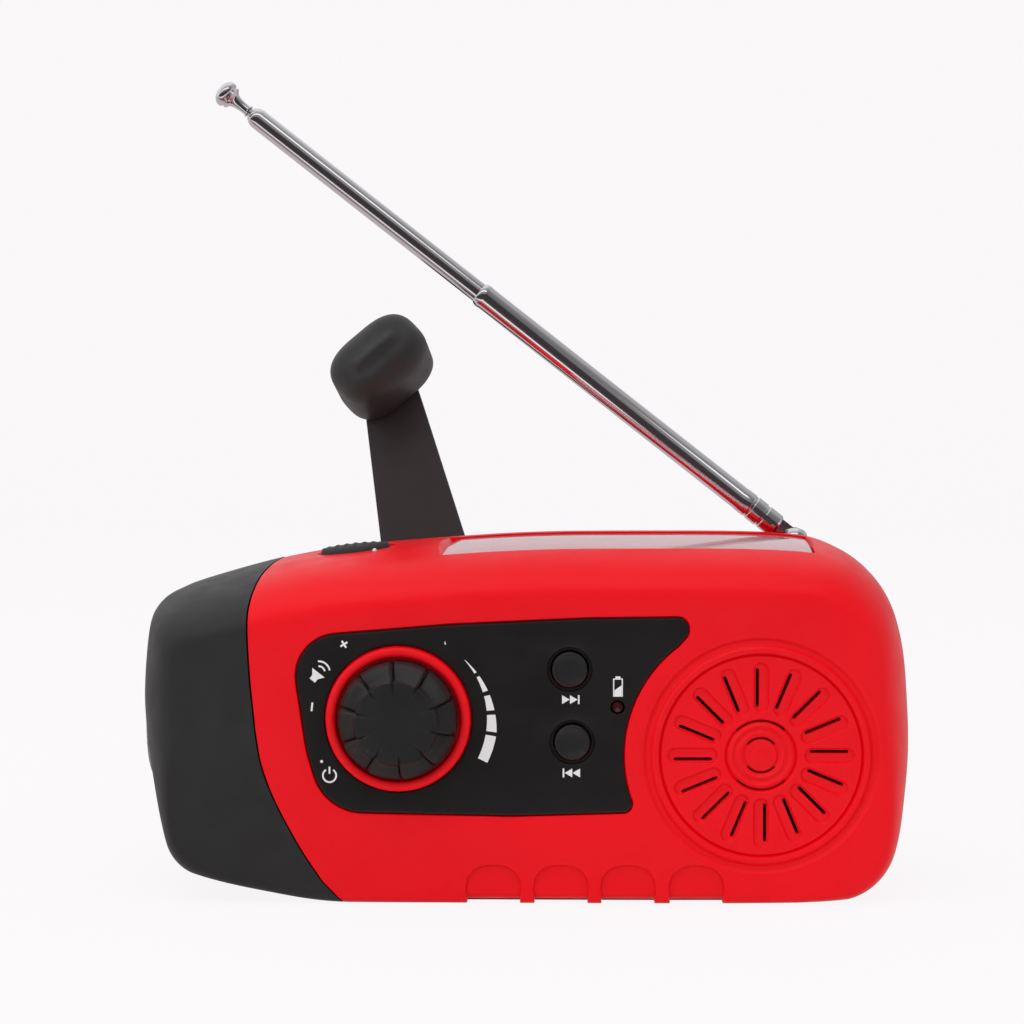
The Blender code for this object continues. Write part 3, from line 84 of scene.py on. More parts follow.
LIGHT_LEAN = math.radians(-5.9)      # slope of the top under the light button
LIGHT_AT = Vector((-28.7, 0, 55.35))
LIGHT_SIDE = Vector((math.cos(LIGHT_LEAN), 0, -math.sin(LIGHT_LEAN)))
LIGHT_UP = Vector((math.sin(LIGHT_LEAN), 0, math.cos(LIGHT_LEAN)))

CRANK_X, CRANK_Z = -12.6, 27.0
ARM_LEAN = math.radians(13.6)    # arm leans left of vertical
ARM_OUT = math.radians(20.0)     # arm stands off the back
ARM_LENGTH = 62.8
HINGE_Y = 22.2
POCKET_X = CRANK_X + ARM_LENGTH
POCKET_RADIUS = 9.8

AERIAL_X, AERIAL_Y, AERIAL_Z = 46.4, 15.0, 56.2
AERIAL_TILT = math.radians(38.2)     # above the horizontal, towards the left

UNDERSIDE_DRAFT = 0.66
REAR_TOP_Z = 53.2        # the rear shell is stepped down to this height
REAR_BOSS_END_Y = 16.6
CASE_SCREWS = ((56.0, 46.5), (57.0, 13.2), (-35.0, 30.0), (26.0, 48.0))     # X, Z
GEAR_SCREWS = ((-22.0, 44.0), (21.5, 26.5), (20.5, 47.5))

# outer contour of the casing seen from the front, clockwise from the top of
# the lamp cap: corner X, corner Z, corner radius
CASE_CORNERS = ((-62.2, 47.8, 6.0), (-38.0, 55.1, 120.0), (0.0, 58.1, 300.0),
                (61.4, 58.1, 18.0), (63.6, 24.0, 45.0), (58.8, 0.0, 11.0),
                (-32.5, 0.0, 60.0), (-57.2, 4.8, 7.5), (-64.3, 28.5, 42.0))

# joint line between the lamp cap and the red shells: Z, X
SEAM = ((-4.0, -26.0), (0.0, -28.9), (3.7, -32.4), (8.5, -35.6), (13.3, -38.3),
        (18.1, -40.6), (22.9, -42.2), (27.7, -43.0), (37.3, -43.9), (46.9, -44.2),
        (51.8, -43.4), (54.8, -41.2), (60.0, -37.0))


# ------------------------------------------------------------ solids
def new_object(mesh):
    """Turn a bmesh in millimetres into a clean outward-facing object."""
    bmesh.ops.remove_doubles(mesh, verts=mesh.verts[:], dist=1e-4)
    bmesh.ops.recalc_face_normals(mesh, faces=mesh.faces[:])
    mesh.normal_update()
    if mesh.calc_volume(signed=True) < 0:
        bmesh.ops.reverse_faces(mesh, faces=mesh.faces[:])
    bmesh.ops.scale(mesh, vec=(MM,) * 3, verts=mesh.verts[:])
    data = bpy.data.meshes.new("part")
    mesh.to_mesh(data)
    mesh.free()
    part = bpy.data.objects.new("part", data)
    bpy.context.scene.collection.objects.link(part)
    return part


def boolean(target, tool, operation):
    """One exact Boolean, applied; the tool is used up."""
    modifier = target.modifiers.new("cut", 'BOOLEAN')
    modifier.operation = operation
    modifier.solver = 'EXACT'
    modifier.object = tool
    bpy.context.view_layer.update()
    graph = bpy.context.evaluated_depsgraph_get()
    data = bpy.data.meshes.new_from_object(target.evaluated_get(graph))
    target.modifiers.remove(modifier)
    old = target.data
    target.data = data
    bpy.data.meshes.remove(old)
    bpy.data.objects.remove(tool, do_unlink=True)


def cut(target, tool):
    boolean(target, tool, 'DIFFERENCE')


def fuse(target, tool):
    boolean(target, tool, 'UNION')


def keep(target, tool):
    boolean(target, tool, 'INTERSECT')


def skin(rings):
    """Solid through a list of closed rings of equal count, capped at both ends."""
    mesh = bmesh.new()
    rows = [[mesh.verts.new(point) for point in ring] for ring in rings]
    count = len(rows[0])
    for first, second in zip(rows[:-1], rows[1:]):
        for i in range(count):
            j = (i + 1) % count
            mesh.faces.new((first[i], first[j], second[j], second[i]))
    mesh.faces.new(rows[0])
    mesh.faces.new(rows[-1])
    return new_object(mesh)


def stack(contour, levels, axes=FRONT_VIEW):
    """Skin of one contour repeated at (outward growth, height) levels.

    axes is the origin, the contour's two axes and the axis of the heights."""
    origin, across, along, normal = axes
    return skin([[origin + across * a + along * b + normal * height
                  for a, b in (grow(contour, growth) if growth else contour)]
                 for growth, height in levels])


def prism(contour, y0, y1):
    """Extrude an (X, Z) contour along Y."""
    return stack(contour, ((0.0, y0), (0.0, y1)))


def box(x0, x1, y0, y1, z0, z1):
    return prism(rectangle(x0, x1, z0, z1), y0, y1)


def plates(contours, y0, y1):
    """Several separate (X, Z) contours extruded along Y as one object."""
    mesh = bmesh.new()
    for contour in contours:
        front = [mesh.verts.new((x, y0, z)) for x, z in contour]
        back = [mesh.verts.new((x, y1, z)) for x, z in contour]
        mesh.faces.new(front)
        mesh.faces.new(back)
        for i in range(len(front)):
            j = (i + 1) % len(front)
            mesh.faces.new((front[i], front[j], back[j], back[i]))
    return new_object(mesh)


def bridge(mesh, first, second):
    """Faces between two rings; either may be a single point, and the second may
    have twice the first one's count."""
    doubled = len(first) > 1 and len(second) == 2 * len(first)
    count = len(second) if len(first) == 1 else len(first)
    for i in range(count):
        j = (i + 1) % count
        if len(first) == 1:
            mesh.faces.new((first[0], second[i], second[j]))
        elif len(second) == 1:
            mesh.faces.new((first[i], second[0], first[j]))
        elif doubled:
            near, middle = second[2 * i], second[2 * i + 1]
            far = second[(2 * i + 2) % len(second)]
            mesh.faces.new((first[i], near, middle))
            mesh.faces.new((first[i], middle, first[j]))
            mesh.faces.new((first[j], middle, far))
        else:
            mesh.faces.new((first[i], second[i], second[j], first[j]))


def turned(profile, at, direction, count, hint=Z_AXIS):
    """Solid of revolution.  profile is (radius, distance) pairs, from axis to
    axis, or a closed ring of pairs when no radius is zero.  hint points towards
    the first vertex of each ring."""
    axis = Vector(direction).normalized()
    hint = Vector(hint)
    if abs(axis.dot(hint.normalized())) > 0.95:
        hint = X_AXIS
    side = (hint - axis * hint.dot(axis)).normalized()
    other = axis.cross(side)
    at = Vector(at)
    mesh = bmesh.new()
    rows = []
    for radius, height in profile:
        if radius <= 1e-6:
            rows.append([mesh.verts.new(at + axis * height)])
        else:
            rows.append([mesh.verts.new(
                at + axis * height + side * radius * math.cos(2 * math.pi * i / count)
                + other * radius * math.sin(2 * math.pi * i / count))
                for i in range(count)])
    pairs = list(zip(rows[:-1], rows[1:]))
    if all(radius > 1e-6 for radius, _ in profile):
        pairs.append((rows[-1], rows[0]))
    for first, second in pairs:
        bridge(mesh, first, second)
    return new_object(mesh)


def rod(start, end, radius, count, hint=Z_AXIS):
    start, end = Vector(start), Vector(end)
    length = (end - start).length
    return turned([(0, 0), (radius, 0), (radius, length), (0, length)],
                  start, end - start, count, hint)


def y_rod(x, z, y0, y1, radius, count):
    return rod((x, y0, z), (x, y1, z), radius, count)


def y_turned(profile, x, z, count):
    """Solid of revolution about an axis along Y; profile is (radius, Y)."""
    return turned(profile, (x, 0, z), Y_AXIS, count)


# ------------------------------------------------------------ contours
def rectangle(x0, x1, z0, z1):
    return [(x0, z0), (x1, z0), (x1, z1), (x0, z1)]


def round_corners(corners, steps):
    """Round each (x, z, radius) corner of a closed contour with an arc."""
    out = []
    for i, (x, z, radius) in enumerate(corners):
        if radius <= 0:
            out.append((x, z))
            continue
        corner = Vector((x, z))
        before = Vector(corners[i - 1][:2]) - corner
        after = Vector(corners[(i + 1) % len(corners)][:2]) - corner
        before.normalize()
        after.normalize()
        half = before.angle(after) / 2
        back = radius / math.tan(half)
        middle = (before + after).normalized()
        centre = corner + middle * (radius / math.sin(half))
        start = corner + before * back - centre
        end = corner + after * back - centre
        start_angle = math.atan2(start.y, start.x)
        end_angle = math.atan2(end.y, end.x)
        sweep = (end_angle - start_angle + math.pi) % (2 * math.pi) - math.pi
        for k in range(steps + 1):
            angle = start_angle + sweep * k / steps
            out.append((centre.x + radius * math.cos(angle),
                        centre.y + radius * math.sin(angle)))
    return out


def soft_rectangle(x0, x1, z0, z1, low_radius, high_radius, steps):
    """Rectangle with one radius at its lower corners and one at its upper."""
    radii = (low_radius, low_radius, high_radius, high_radius)
    corners = [(x, z, radius) for (x, z), radius in zip(rectangle(x0, x1, z0, z1), radii)]
    return round_corners(corners, steps)


def grow(contour, distance):
    """Move a closed contour outwards along its vertex normals."""
    count = len(contour)
    area = sum(contour[i][0] * contour[(i + 1) % count][1]
               - contour[(i + 1) % count][0] * contour[i][1] for i in range(count))
    sign = 1.0 if area > 0 else -1.0
    out = []
    for i in range(count):
        before = Vector(contour[i]) - Vector(contour[i - 1])
        after = Vector(contour[(i + 1) % count]) - Vector(contour[i])
        if before.length < 1e-6 or after.length < 1e-6:
            out.append(contour[i])
            continue
        normal_before = Vector((before.y, -before.x)).normalized() * sign
        normal_after = Vector((after.y, -after.x)).normalized() * sign
        mitre = normal_before + normal_after
        mitre = mitre / max(mitre.length_squared / 2, 0.3)
        out.append((contour[i][0] + mitre.x * distance, contour[i][1] + mitre.y * distance))
    return out


def chaikin(points, rounds):
    """Smooth a closed contour by cutting its corners at the quarter points."""
    for _ in range(rounds):
        new = []
        for i in range(len(points)):
            a, b = points[i], points[(i + 1) % len(points)]
            new.append((a[0] * 0.75 + b[0] * 0.25, a[1] * 0.75 + b[1] * 0.25))
            new.append((a[0] * 0.25 + b[0] * 0.75, a[1] * 0.25 + b[1] * 0.75))
        points = new
    return points


def stadium(clearance, steps):
    """The lamp opening's round-ended (Y, Z) contour, less a clearance."""
    half_y, half_z = LAMP_HALF_Y - clearance, LAMP_HALF_Z - clearance
    radius = min(half_y, half_z)
    points = []
    for k in range(2 * steps):
        angle = 2 * math.pi * (k + 0.5) / (2 * steps)
        shift_y = (half_y - radius) * (1 if math.cos(angle) > 0 else -1)
        shift_z = (half_z - radius) * (1 if math.sin(angle) > 0 else -1)
        points.append((LAMP_Y + shift_y + radius * math.cos(angle),
                       LAMP_Z + shift_z + radius * math.sin(angle)))
    return points


def put(points, x, z, angle):
    """Turn points about the origin, then move them to (x, z)."""
    cosine, sine = math.cos(angle), math.sin(angle)
    return [(x + cosine * a - sine * b, z + sine * a + cosine * b) for a, b in points]


def bar(x, z, length, width, angle):
    return put(rectangle(-length / 2, length / 2, -width / 2, width / 2), x, z, angle)


def arc_band(x, z, inner, outer, start, end, steps):
    """Band between two radii, from one angle to another."""
    def arc(radius, first, last):
        angles = [first + (last - first) * k / steps for k in range(steps + 1)]
        return [(x + radius * math.cos(t), z + radius * math.sin(t)) for t in angles]

    return arc(outer, start, end) + arc(inner, end, start)


def rolled_edge(radius, lip, y, into, steps):
    """Quarter-round (radius, Y) profile at a hole's mouth; into is the sign of Y
    going into the hole."""
    angles = [math.pi / 2 * k / steps for k in range(steps + 1)]
    return [(radius + lip * (1 - math.sin(t)), y + into * lip * (1 - math.cos(t)))
            for t in angles]


def from_front(levels):
    """(growth, depth below the front face) to (growth, Y)."""
    return [(growth, FRONT_Y + depth) for growth, depth in levels]


def bell(distance, half):
    """Smooth bump of unit height and given half width."""
    distance = abs(distance) / half
    return 0.5 * (1 + math.cos(math.pi * distance)) if distance < 1 else 0.0


def ease(distance, soft):
    """0 below, 1 above, softened over +-soft."""
    t = min(1.0, max(0.0, (distance + soft) / (2 * soft)))
    return t * t * (3 - 2 * t)


# ------------------------------------------------------------ materials
def node(tree, kind, inputs, **settings):
    """New shader node; an input value may be a constant or another node's output."""
    made = tree.nodes.new("ShaderNode" + kind)
    for key, value in settings.items():
        setattr(made, key, value)
    for key, value in inputs.items():
        feed(tree, made.inputs[key], value)
    return made


def feed(tree, socket, value):
    if isinstance(value, bpy.types.NodeSocket):
        tree.links.new(value, socket)
    elif isinstance(value, tuple) and socket.type == 'RGBA':
        socket.default_value = (*value, 1.0)
    else:
        socket.default_value = value


def new_material(name):
    """Material, its tree, its shader and the object coordinates."""
    material = bpy.data.materials.new(name)
    material.use_nodes = True
    tree = material.node_tree
    shader = tree.nodes["Principled BSDF"]
    return material, tree, shader, node(tree, "TexCoord", {}).outputs["Object"]


def set_shader(tree, shader, **values):
    """Feed shader inputs; underscores in the names stand for spaces."""
    for key, value in values.items():
        feed(tree, shader.inputs[key.replace("_", " ")], value)


def noise(tree, at, scale, detail, roughness):
    return node(tree, "TexNoise", {"Scale": scale, "Detail": detail, "Roughness": roughness,
                                   "Vector": at}).outputs["Fac"]


def ramp(tree, value, low, high, start=0.3, end=0.7):
    """Map start..end to low..high; noise mostly lies in the default range."""
    return node(tree, "MapRange", {"From Min": start, "From Max": end, "To Min": low,
                                   "To Max": high, "Value": value}).outputs["Result"]


def calc(tree, operation, *values):
    return node(tree, "Math", dict(enumerate(values)), operation=operation).outputs[0]


def mix(tree, factor, a, b):
    # sockets 6 and 7 and output 2 are the Mix node's colour sockets
    return node(tree, "Mix", {0: factor, 6: a, 7: b}, data_type='RGBA').outputs[2]


def tones(tree, value, rgb, spread):
    """Colour drifting by the share spread either side of rgb."""
    return mix(tree, ramp(tree, value, 0.0, 1.0), tuple(c * (1 - spread) for c in rgb),
               tuple(min(1.0, c * (1 + spread)) for c in rgb))


def bump_map(tree, height, strength, distance):
    return node(tree, "Bump", {"Strength": strength, "Distance": distance,
                               "Height": height}).outputs["Normal"]


def moulded(name, rgb, rough, grain=0.35, bump=0.25, spread=0.10, spec=0.5, wear=0.0,
            wear_rgb=None):
    """Moulded part: fine surface grain, uneven gloss, slight tone drift and
    worn convex edges.  grain is the grain size in millimetres."""
    material, tree, shader, at = new_material(name)
    fine = noise(tree, at, scale=1000.0 / grain, detail=2.0, roughness=0.6)
    patches = noise(tree, at, scale=220.0, detail=4.0, roughness=0.6)
    broad = noise(tree, at, scale=28.0, detail=3.0, roughness=0.5)
    colour = tones(tree, broad, rgb, spread)
    if wear > 0:
        geometry = node(tree, "NewGeometry", {})
        edge = ramp(tree, geometry.outputs["Pointiness"], 0.0, 1.0, start=0.52, end=0.60)
        amount = ramp(tree, patches, 0.0, wear, start=0.35, end=0.65)
        colour = mix(tree, calc(tree, 'MULTIPLY', edge, amount), colour, wear_rgb)
    set_shader(tree, shader, Base_Color=colour,
               Roughness=ramp(tree, patches, rough - 0.06, rough + 0.06),
               Specular_IOR_Level=spec, Coat_Roughness=0.25,
               Normal=bump_map(tree, fine, strength=bump, distance=0.00003))
    return material


def metal(name, rgb, rough, spread, bump, streak=(1.0, 1.0, 1.0)):
    """Polished or brushed metal; streak scales the polishing texture per axis."""
    material, tree, shader, at = new_material(name)
    stretched = node(tree, "Mapping", {"Scale": streak, "Vector": at}).outputs["Vector"]
    line = noise(tree, stretched, scale=1400.0, detail=4.0, roughness=0.65)
    spot = noise(tree, at, scale=160.0, detail=4.0, roughness=0.6)
    set_shader(tree, shader, Base_Color=tones(tree, spot, rgb, spread),
               Roughness=ramp(tree, line, max(0.02, rough - 0.04), rough + 0.05),
               Metallic=1.0,
               Normal=bump_map(tree, line, strength=bump, distance=0.00001))
    return material


def clear(name, tint_and_painted_sheen, rough, through):
    """Clear plastic; through is the transmitted share.  Its colour is a faint real tint for the
    lens, but for the solar window it is a pink painted reflection that lightens it.
    """
    material, tree, shader, at = new_material(name)
    haze = noise(tree, at, scale=90.0, detail=3.0, roughness=0.5)
    set_shader(tree, shader, Base_Color=tint_and_painted_sheen,
               Roughness=ramp(tree, haze, rough * 0.5, rough * 1.8),
               Transmission_Weight=through, IOR=1.49,
               Normal=bump_map(tree, haze, strength=0.05, distance=0.00002))
    return material


def solar(name):
    """Dark blue cell with silver bus bars and fine fingers."""
    material, tree, shader, at = new_material(name)
    position = node(tree, "SeparateXYZ", {0: at})

    def lines(axis, pitch, width):
        """1 on lines of a width in metres, repeated at a pitch along an axis."""
        turns = calc(tree, 'MULTIPLY_ADD', position.outputs[axis], 1.0 / pitch, 0.0)
        return calc(tree, 'LESS_THAN', calc(tree, 'FRACT', turns), width / pitch)

    bars = calc(tree, 'MAXIMUM', lines("X", pitch=0.0095, width=0.0005),
                lines("Y", pitch=0.0060, width=0.0004))
    grid = calc(tree, 'MAXIMUM', bars, lines("X", pitch=0.0012, width=0.00008))
    grain = noise(tree, at, scale=300.0, detail=4.0, roughness=0.6)
    blue = mix(tree, ramp(tree, grain, 0.0, 1.0), (0.006, 0.010, 0.045),
               (0.018, 0.030, 0.110))
    set_shader(tree, shader, Base_Color=mix(tree, grid, blue, (0.55, 0.57, 0.60)),
               Roughness=ramp(tree, grain, 0.15, 0.30))
    return material


# materials by the frame's slot name; arm, print, grip and lens are extra
LOOKS = {
    "red_shell": moulded("red_satin", (0.81, 0.0010, 0.0080), 0.38, grain=0.22, bump=0.10,
                         spread=0.04, spec=0.22),
    "black_cap": moulded("black_soft_touch", (0.0250, 0.0240, 0.0245), 0.52, grain=0.18,
                         bump=0.22, spec=0.34, wear=0.15, wear_rgb=(0.05, 0.05, 0.05)),
    "black_panel": moulded("black_satin_panel", (0.0115, 0.0105, 0.0100), 0.40, grain=0.16,
                           bump=0.14, spec=0.45),
    "black_knob": moulded("black_moulded", (0.0165, 0.0160, 0.0158), 0.46, grain=0.30,
                          bump=0.45, spread=0.15, spec=0.45, wear=0.25,
                          wear_rgb=(0.06, 0.06, 0.06)),
    "arm": moulded("black_arm", (0.0290, 0.0220, 0.0240), 0.50, grain=0.22, spread=0.08,
                   spec=0.40),
    "soft_rubber": moulded("soft_rubber_look", (0.034, 0.034, 0.0345), 0.62, bump=0.55,
                           spread=0.12, spec=0.40),
    "print": moulded("white_print", (0.78, 0.77, 0.78), 0.55, grain=0.12, bump=0.2,
                     spread=0.05),
    "grip": moulded("black_grip", (0.030, 0.029, 0.029), 0.50, grain=0.28, bump=0.40,
                    spread=0.12, spec=0.42, wear=0.2, wear_rgb=(0.07, 0.07, 0.07)),
    # the solar window's pink colour and the share not let through are a painted reflection that
    # lightens it
    "clear_plastic": clear("clear_window_painted_sheen", (1.0, 0.66, 0.69), rough=0.06, through=0.62),
    "lens": clear("clear_lens", (0.97, 0.98, 0.99), rough=0.03, through=0.85),
    "chrome": metal("chrome_tube", (0.74, 0.73, 0.75), 0.10, spread=0.03, bump=0.04),
    "steel": metal("plain_steel", (0.48, 0.48, 0.50), 0.30, spread=0.08, bump=0.3,
                   streak=(1.0, 12.0, 1.0)),
    "silver_reflector": metal("reflector_coat", (0.86, 0.86, 0.88), 0.07, spread=0.02,
                              bump=0.05),
    "white_led": moulded("white_led_look", (0.90, 0.86, 0.62), 0.18, grain=0.3, bump=0.1),
    "red_led": moulded("dark_red_led", (0.045, 0.003, 0.004), 0.20, grain=0.3, bump=0.1),
    "circuit_board": moulded("solder_mask", (0.015, 0.13, 0.05), 0.42, grain=0.6, bump=0.5,
                             spread=0.25),
    "grey_component": moulded("grey_part", (0.10, 0.10, 0.11), 0.45, grain=0.4, bump=0.4),
    "paper_cone": moulded("paper_cone_look", (0.035, 0.034, 0.036), 0.85, grain=0.5,
                          bump=0.9, spread=0.25),
    "battery_wrap": moulded("battery_sleeve", (0.05, 0.17, 0.40), 0.30, grain=0.8, bump=0.2),
    "gear_plastic": moulded("gear_acetal", (0.82, 0.80, 0.74), 0.38, grain=0.4),
    "copper": metal("copper_wire", (0.72, 0.33, 0.17), 0.32, spread=0.12, bump=0.8,
                    streak=(1.0, 20.0, 1.0)),
    "magnet": moulded("ferrite", (0.10, 0.10, 0.105), 0.42, grain=0.5, bump=0.6, spread=0.2),
    "solar_cell": solar("solar_cells"),
}


# ------------------------------------------------------------ finishing
def tidy(part, name, angle):
    """Name a part, weld it, drop loose bits and shade it; angle in degrees is
    where an edge turns sharp."""
    weld = 2e-7
    part.name = name
    part.data.name = name
    mesh = bmesh.new()
    mesh.from_mesh(part.data)
    bmesh.ops.remove_doubles(mesh, verts=mesh.verts[:], dist=weld)
    bmesh.ops.dissolve_degenerate(mesh, dist=weld, edges=mesh.edges[:])
    bare = [e for e in mesh.edges if not e.link_faces]
    bmesh.ops.delete(mesh, geom=bare, context='EDGES')
    lone = [v for v in mesh.verts if not v.link_edges]
    bmesh.ops.delete(mesh, geom=lone, context='VERTS')
    big = [f for f in mesh.faces if len(f.verts) > 4]
    bmesh.ops.triangulate(mesh, faces=big)
    mesh.to_mesh(part.data)
    mesh.free()
    part.data.shade_smooth()
    part.data.set_sharp_from_angle(angle=math.radians(angle))


def paint(part, material):
    part.data.materials.clear()
    part.data.materials.append(material)
    for polygon in part.data.polygons:
        polygon.material_index = 0


def piece(part, name, body, replaced=None, slot=None, look=None, angle=30.0):
    """A finished visual piece: tidied, painted, riding on its body."""
    tidy(part, name, angle)
    paint(part, LOOKS[look or slot])
    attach(part, body)
    if replaced:
        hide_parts(replaced)


# ------------------------------------------------------------ casing
def spine_direction(x, z):
    """Unit vector from a contour point towards the spine."""
    spine_x = min(max(x, SPINE_LEFT), SPINE_RIGHT)
    return Vector((spine_x - x, SPINE_Z - z)).normalized()


def blend(inward, top, side, bottom):
    """Value for a contour point from its inward direction."""
    weight = inward.y * inward.y
    return (top if inward.y < 0 else bottom) * weight + side * (1 - weight)


def casing(wall_side, wall_top, y0, y1, front=True, back=False, rounds=1, steps=4):
    """Closed solid of the casing's outside, set in by a wall thickness; front and
    back say which ends have the edge fillet."""
    contour = chaikin(round_corners(CASE_CORNERS, 3), rounds)

    def ring(y, fillet=FILLET_BACK, length_part=0.0, drop_part=0.0):
        lengths, drops = fillet
        points = []
        for x, z in contour:
            inward = spine_direction(x, z)
            inset = (blend(inward, wall_top, wall_side, wall_side)
                     + blend(inward, *drops) * drop_part)
            points.append((x + inward.x * inset, y + blend(inward, *lengths) * length_part,
                           z + inward.y * inset))
        return points

    rings = []
    if front:
        for k in range(steps + 1):
            t = math.pi / 2 * k / steps
            rings.append(ring(y0, FILLET_FRONT, 1 - math.cos(t), 1 - math.sin(t)))
    else:
        rings.append(ring(y0))
    if back:
        back_steps = max(2, steps - 2)
        for k in range(back_steps + 1):
            t = math.pi / 2 * k / back_steps
            rings.append(ring(y1, FILLET_BACK, math.sin(t) - 1, 1 - math.cos(t)))
    else:
        rings.append(ring(y1))
    return skin(rings)


def beside_seam(shift, left):
    """Block covering everything on one side of the joint line moved by shift in X;
    the line is smoothed between its stations."""
    low_z, high_z = -20.0, 80.0
    far = -90.0 if left else 90.0
    line = []
    for i in range(len(SEAM) - 1):
        x0 = SEAM[max(i - 1, 0)][1]
        z1, x1 = SEAM[i]
        z2, x2 = SEAM[i + 1]
        x3 = SEAM[min(i + 2, len(SEAM) - 1)][1]
        for k in range(6):
            t = k / 6.0
            x = 0.5 * (2 * x1 + (x2 - x0) * t + (2 * x0 - 5 * x1 + 4 * x2 - x3) * t * t
                       + (3 * x1 - x0 - 3 * x2 + x3) * t ** 3)
            line.append((x + shift, z1 + (z2 - z1) * t))
    line.append((SEAM[-1][1] + shift, SEAM[-1][0]))
    contour = [(line[0][0], low_z)] + line
    contour += [(line[-1][0], high_z), (far, high_z), (far, low_z)]
    return prism(contour, -40.0, 40.0)


def arch_outline(x):
    """Contour of one arched recess at the foot of the front."""
    half, top, spring, foot, low = 4.25, 6.2, 2.6, 0.8, -5.0
    squareness = 0.85
    points = [(x + half, low), (x + half, foot)]
    for k in range(25):
        angle = math.pi * k / 24
        cosine, sine = math.cos(angle), math.sin(angle)
        points.append((x + half * math.copysign(abs(cosine) ** squareness, cosine),
                       spring + (top - spring) * abs(sine) ** squareness))
    return points + [(x - half, foot), (x - half, low)]


def window_block(contour, y0, y1):
    """Block under the solar window; its left end runs at a slant."""
    slant = 2.6
    return skin([[(x + (shift if x < 0 else 0.0), y, z) for x, z in contour]
                 for y, shift in ((y0, 0.0), (y1, slant))])


def panel_outline():
    """Outline of the control panel; its right edge runs round the speaker."""
    arc_radius = 21.7
    start, end, steps = math.radians(127.0), math.radians(197.0), 30
    # corner X, Z, radius
    corners = [(-37.6, 42.9, 7.0), (-11.8, 45.0, 40.0), (10.0, 46.0, 30.0),
               (26.2, 46.2, 1.9), (26.2, 43.2, 1.6)]
    for k in range(steps + 1):
        angle = start + (end - start) * k / steps
        corners.append((SPEAKER_X + arc_radius * math.cos(angle),
                        SPEAKER_Z + arc_radius * math.sin(angle), 0))
    corners += [(17.9, 14.7, 1.6), (-2.0, 14.1, 30.0), (-32.0, 14.7, 8.4),
                (-34.9, 24.6, 20.0)]
    return round_corners(corners, 12)


def light_oval(half_length, half_width, height, count):
    """Oval ring round the light button's axis."""
    return [LIGHT_AT + LIGHT_UP * height
            + LIGHT_SIDE * half_length * math.cos(2 * math.pi * i / count)
            + Y_AXIS * half_width * math.sin(2 * math.pi * i / count)
            for i in range(count)]


# recess for the panel: growth, depth below the front face
PANEL_SEAT = ((0.30, -3.0), (0.30, -0.001), (0.12, 0.04), (0.03, 0.14), (0.0, 0.3),
              (0.0, 1.3))
ARCH_LEVELS = ((0.50, -9.0), (0.50, 0.0), (0.22, 0.10), (0.07, 0.28), (0.0, 0.5),
               (0.0, 3.8))
# raised collar round the knob: radius, Y
KNOB_COLLAR = ((9.95, -19.4), (9.95, -21.7), (10.05, -22.0), (10.3, -22.2), (10.7, -22.28),
               (11.1, -22.2), (11.4, -21.98), (11.55, -21.6), (11.6, -21.2), (11.6, -19.4))
# X, Z, front Y, back Y, radius, segments
FRONT_HOLES = (
    (KNOB_X, KNOB_Z, -24.0, HOLE_END_Y, 3.4, 32),
    *((x, z, -26.0, HOLE_END_Y, 3.1, 32) for _, x, z, _ in BUTTONS),
    (LED_X, LED_Z, -26.0, HOLE_END_Y, 1.3, 24),
    (SPEAKER_X, SPEAKER_Z, -26.0, HOLE_END_Y, GRILLE_RADIUS, 160),
    (SPEAKER_X, SPEAKER_Z, -17.95, -8.0, 18.25, 48))
# seat of the solar window: X, Z
WINDOW_SEAT = ((-13.8, 45.0), (47.1, 45.0), (47.1, 56.3), (51.6, 62.0), (-21.6, 62.0),
               (-13.8, 55.2))
# hole for the light button: half length, half width, height
LIGHT_HOLE = ((6.15, 4.35, -9.0), (6.15, 4.35, -0.4), (6.35, 4.55, -0.1), (6.8, 5.0, 0.08),
              (6.8, 5.0, 4.0))
CASE_BOSS_RADIUS = 3.0


def front_shell():
    shell = casing(0.0, 0.0, FRONT_Y, SPLIT_Y, rounds=3, steps=16)
    cut(shell, casing(WALL, WALL_TOP, FRONT_Y + FRONT_WALL, SPLIT_Y + 1.0, rounds=2,
                      steps=5))
    cut(shell, beside_seam(HALF_GAP, left=True))
    cut(shell, stack(panel_outline(), from_front(PANEL_SEAT)))
    fuse(shell, y_turned(KNOB_COLLAR, KNOB_X, KNOB_Z, 96))
    for hole in FRONT_HOLES:
        cut(shell, y_rod(*hole))
    for x in ARCH_X:
        # the floor of each arch follows the casing's surface
        arch = stack(arch_outline(x), from_front(ARCH_LEVELS))
        cut(arch, casing(0.62, 0.62, FRONT_Y + 0.68, 20.0, rounds=3, steps=12))
        cut(shell, arch)
    seat = window_block(WINDOW_SEAT, -11.1, 8.3)
    cut(seat, casing(1.6, 1.6, FRONT_Y, 30.0, rounds=3, steps=12))
    cut(shell, seat)
    # opening below the window seat
    cut(shell, box(-10.9, 45.2, -10.0, 6.8, 50.0, 62.0))
    cut(shell, skin([light_oval(*level, 48) for level in LIGHT_HOLE]))
    for k, (x, z) in enumerate(CASE_SCREWS):
        # the two right-hand bosses are shorter
        boss_y = -8.6 if k < 2 else FRONT_Y + 1.5
        fuse(shell, y_rod(x, z, boss_y, SPLIT_Y - 0.1, CASE_BOSS_RADIUS, 20))
        cut(shell, y_rod(x, z, -8.0, SPLIT_Y + 1.0, 1.1, 12))
    piece(shell, "front_shell_look", "casing", "front_shell", "red_shell", angle=28.0)


# ------------------------------------------------------------ speaker grille
# round ridges and furrows: radius, half width, depth
GRILLE_RINGS = ((18.05, 1.05, 0.55), (16.85, 0.85, -0.22), (16.05, 0.30, 0.45),
                (5.50, 0.30, 0.30), (4.75, 0.45, -0.25), (4.15, 0.30, 0.12),
                (3.55, 0.40, -0.22), (2.75, 0.42, 0.30))
# changes of level: radius, softness, depth inside it
GRILLE_STEPS = ((15.75, 0.25, 0.10), (5.85, 0.22, 0.22), (1.45, 0.18, -0.16))
SPOKES = 16


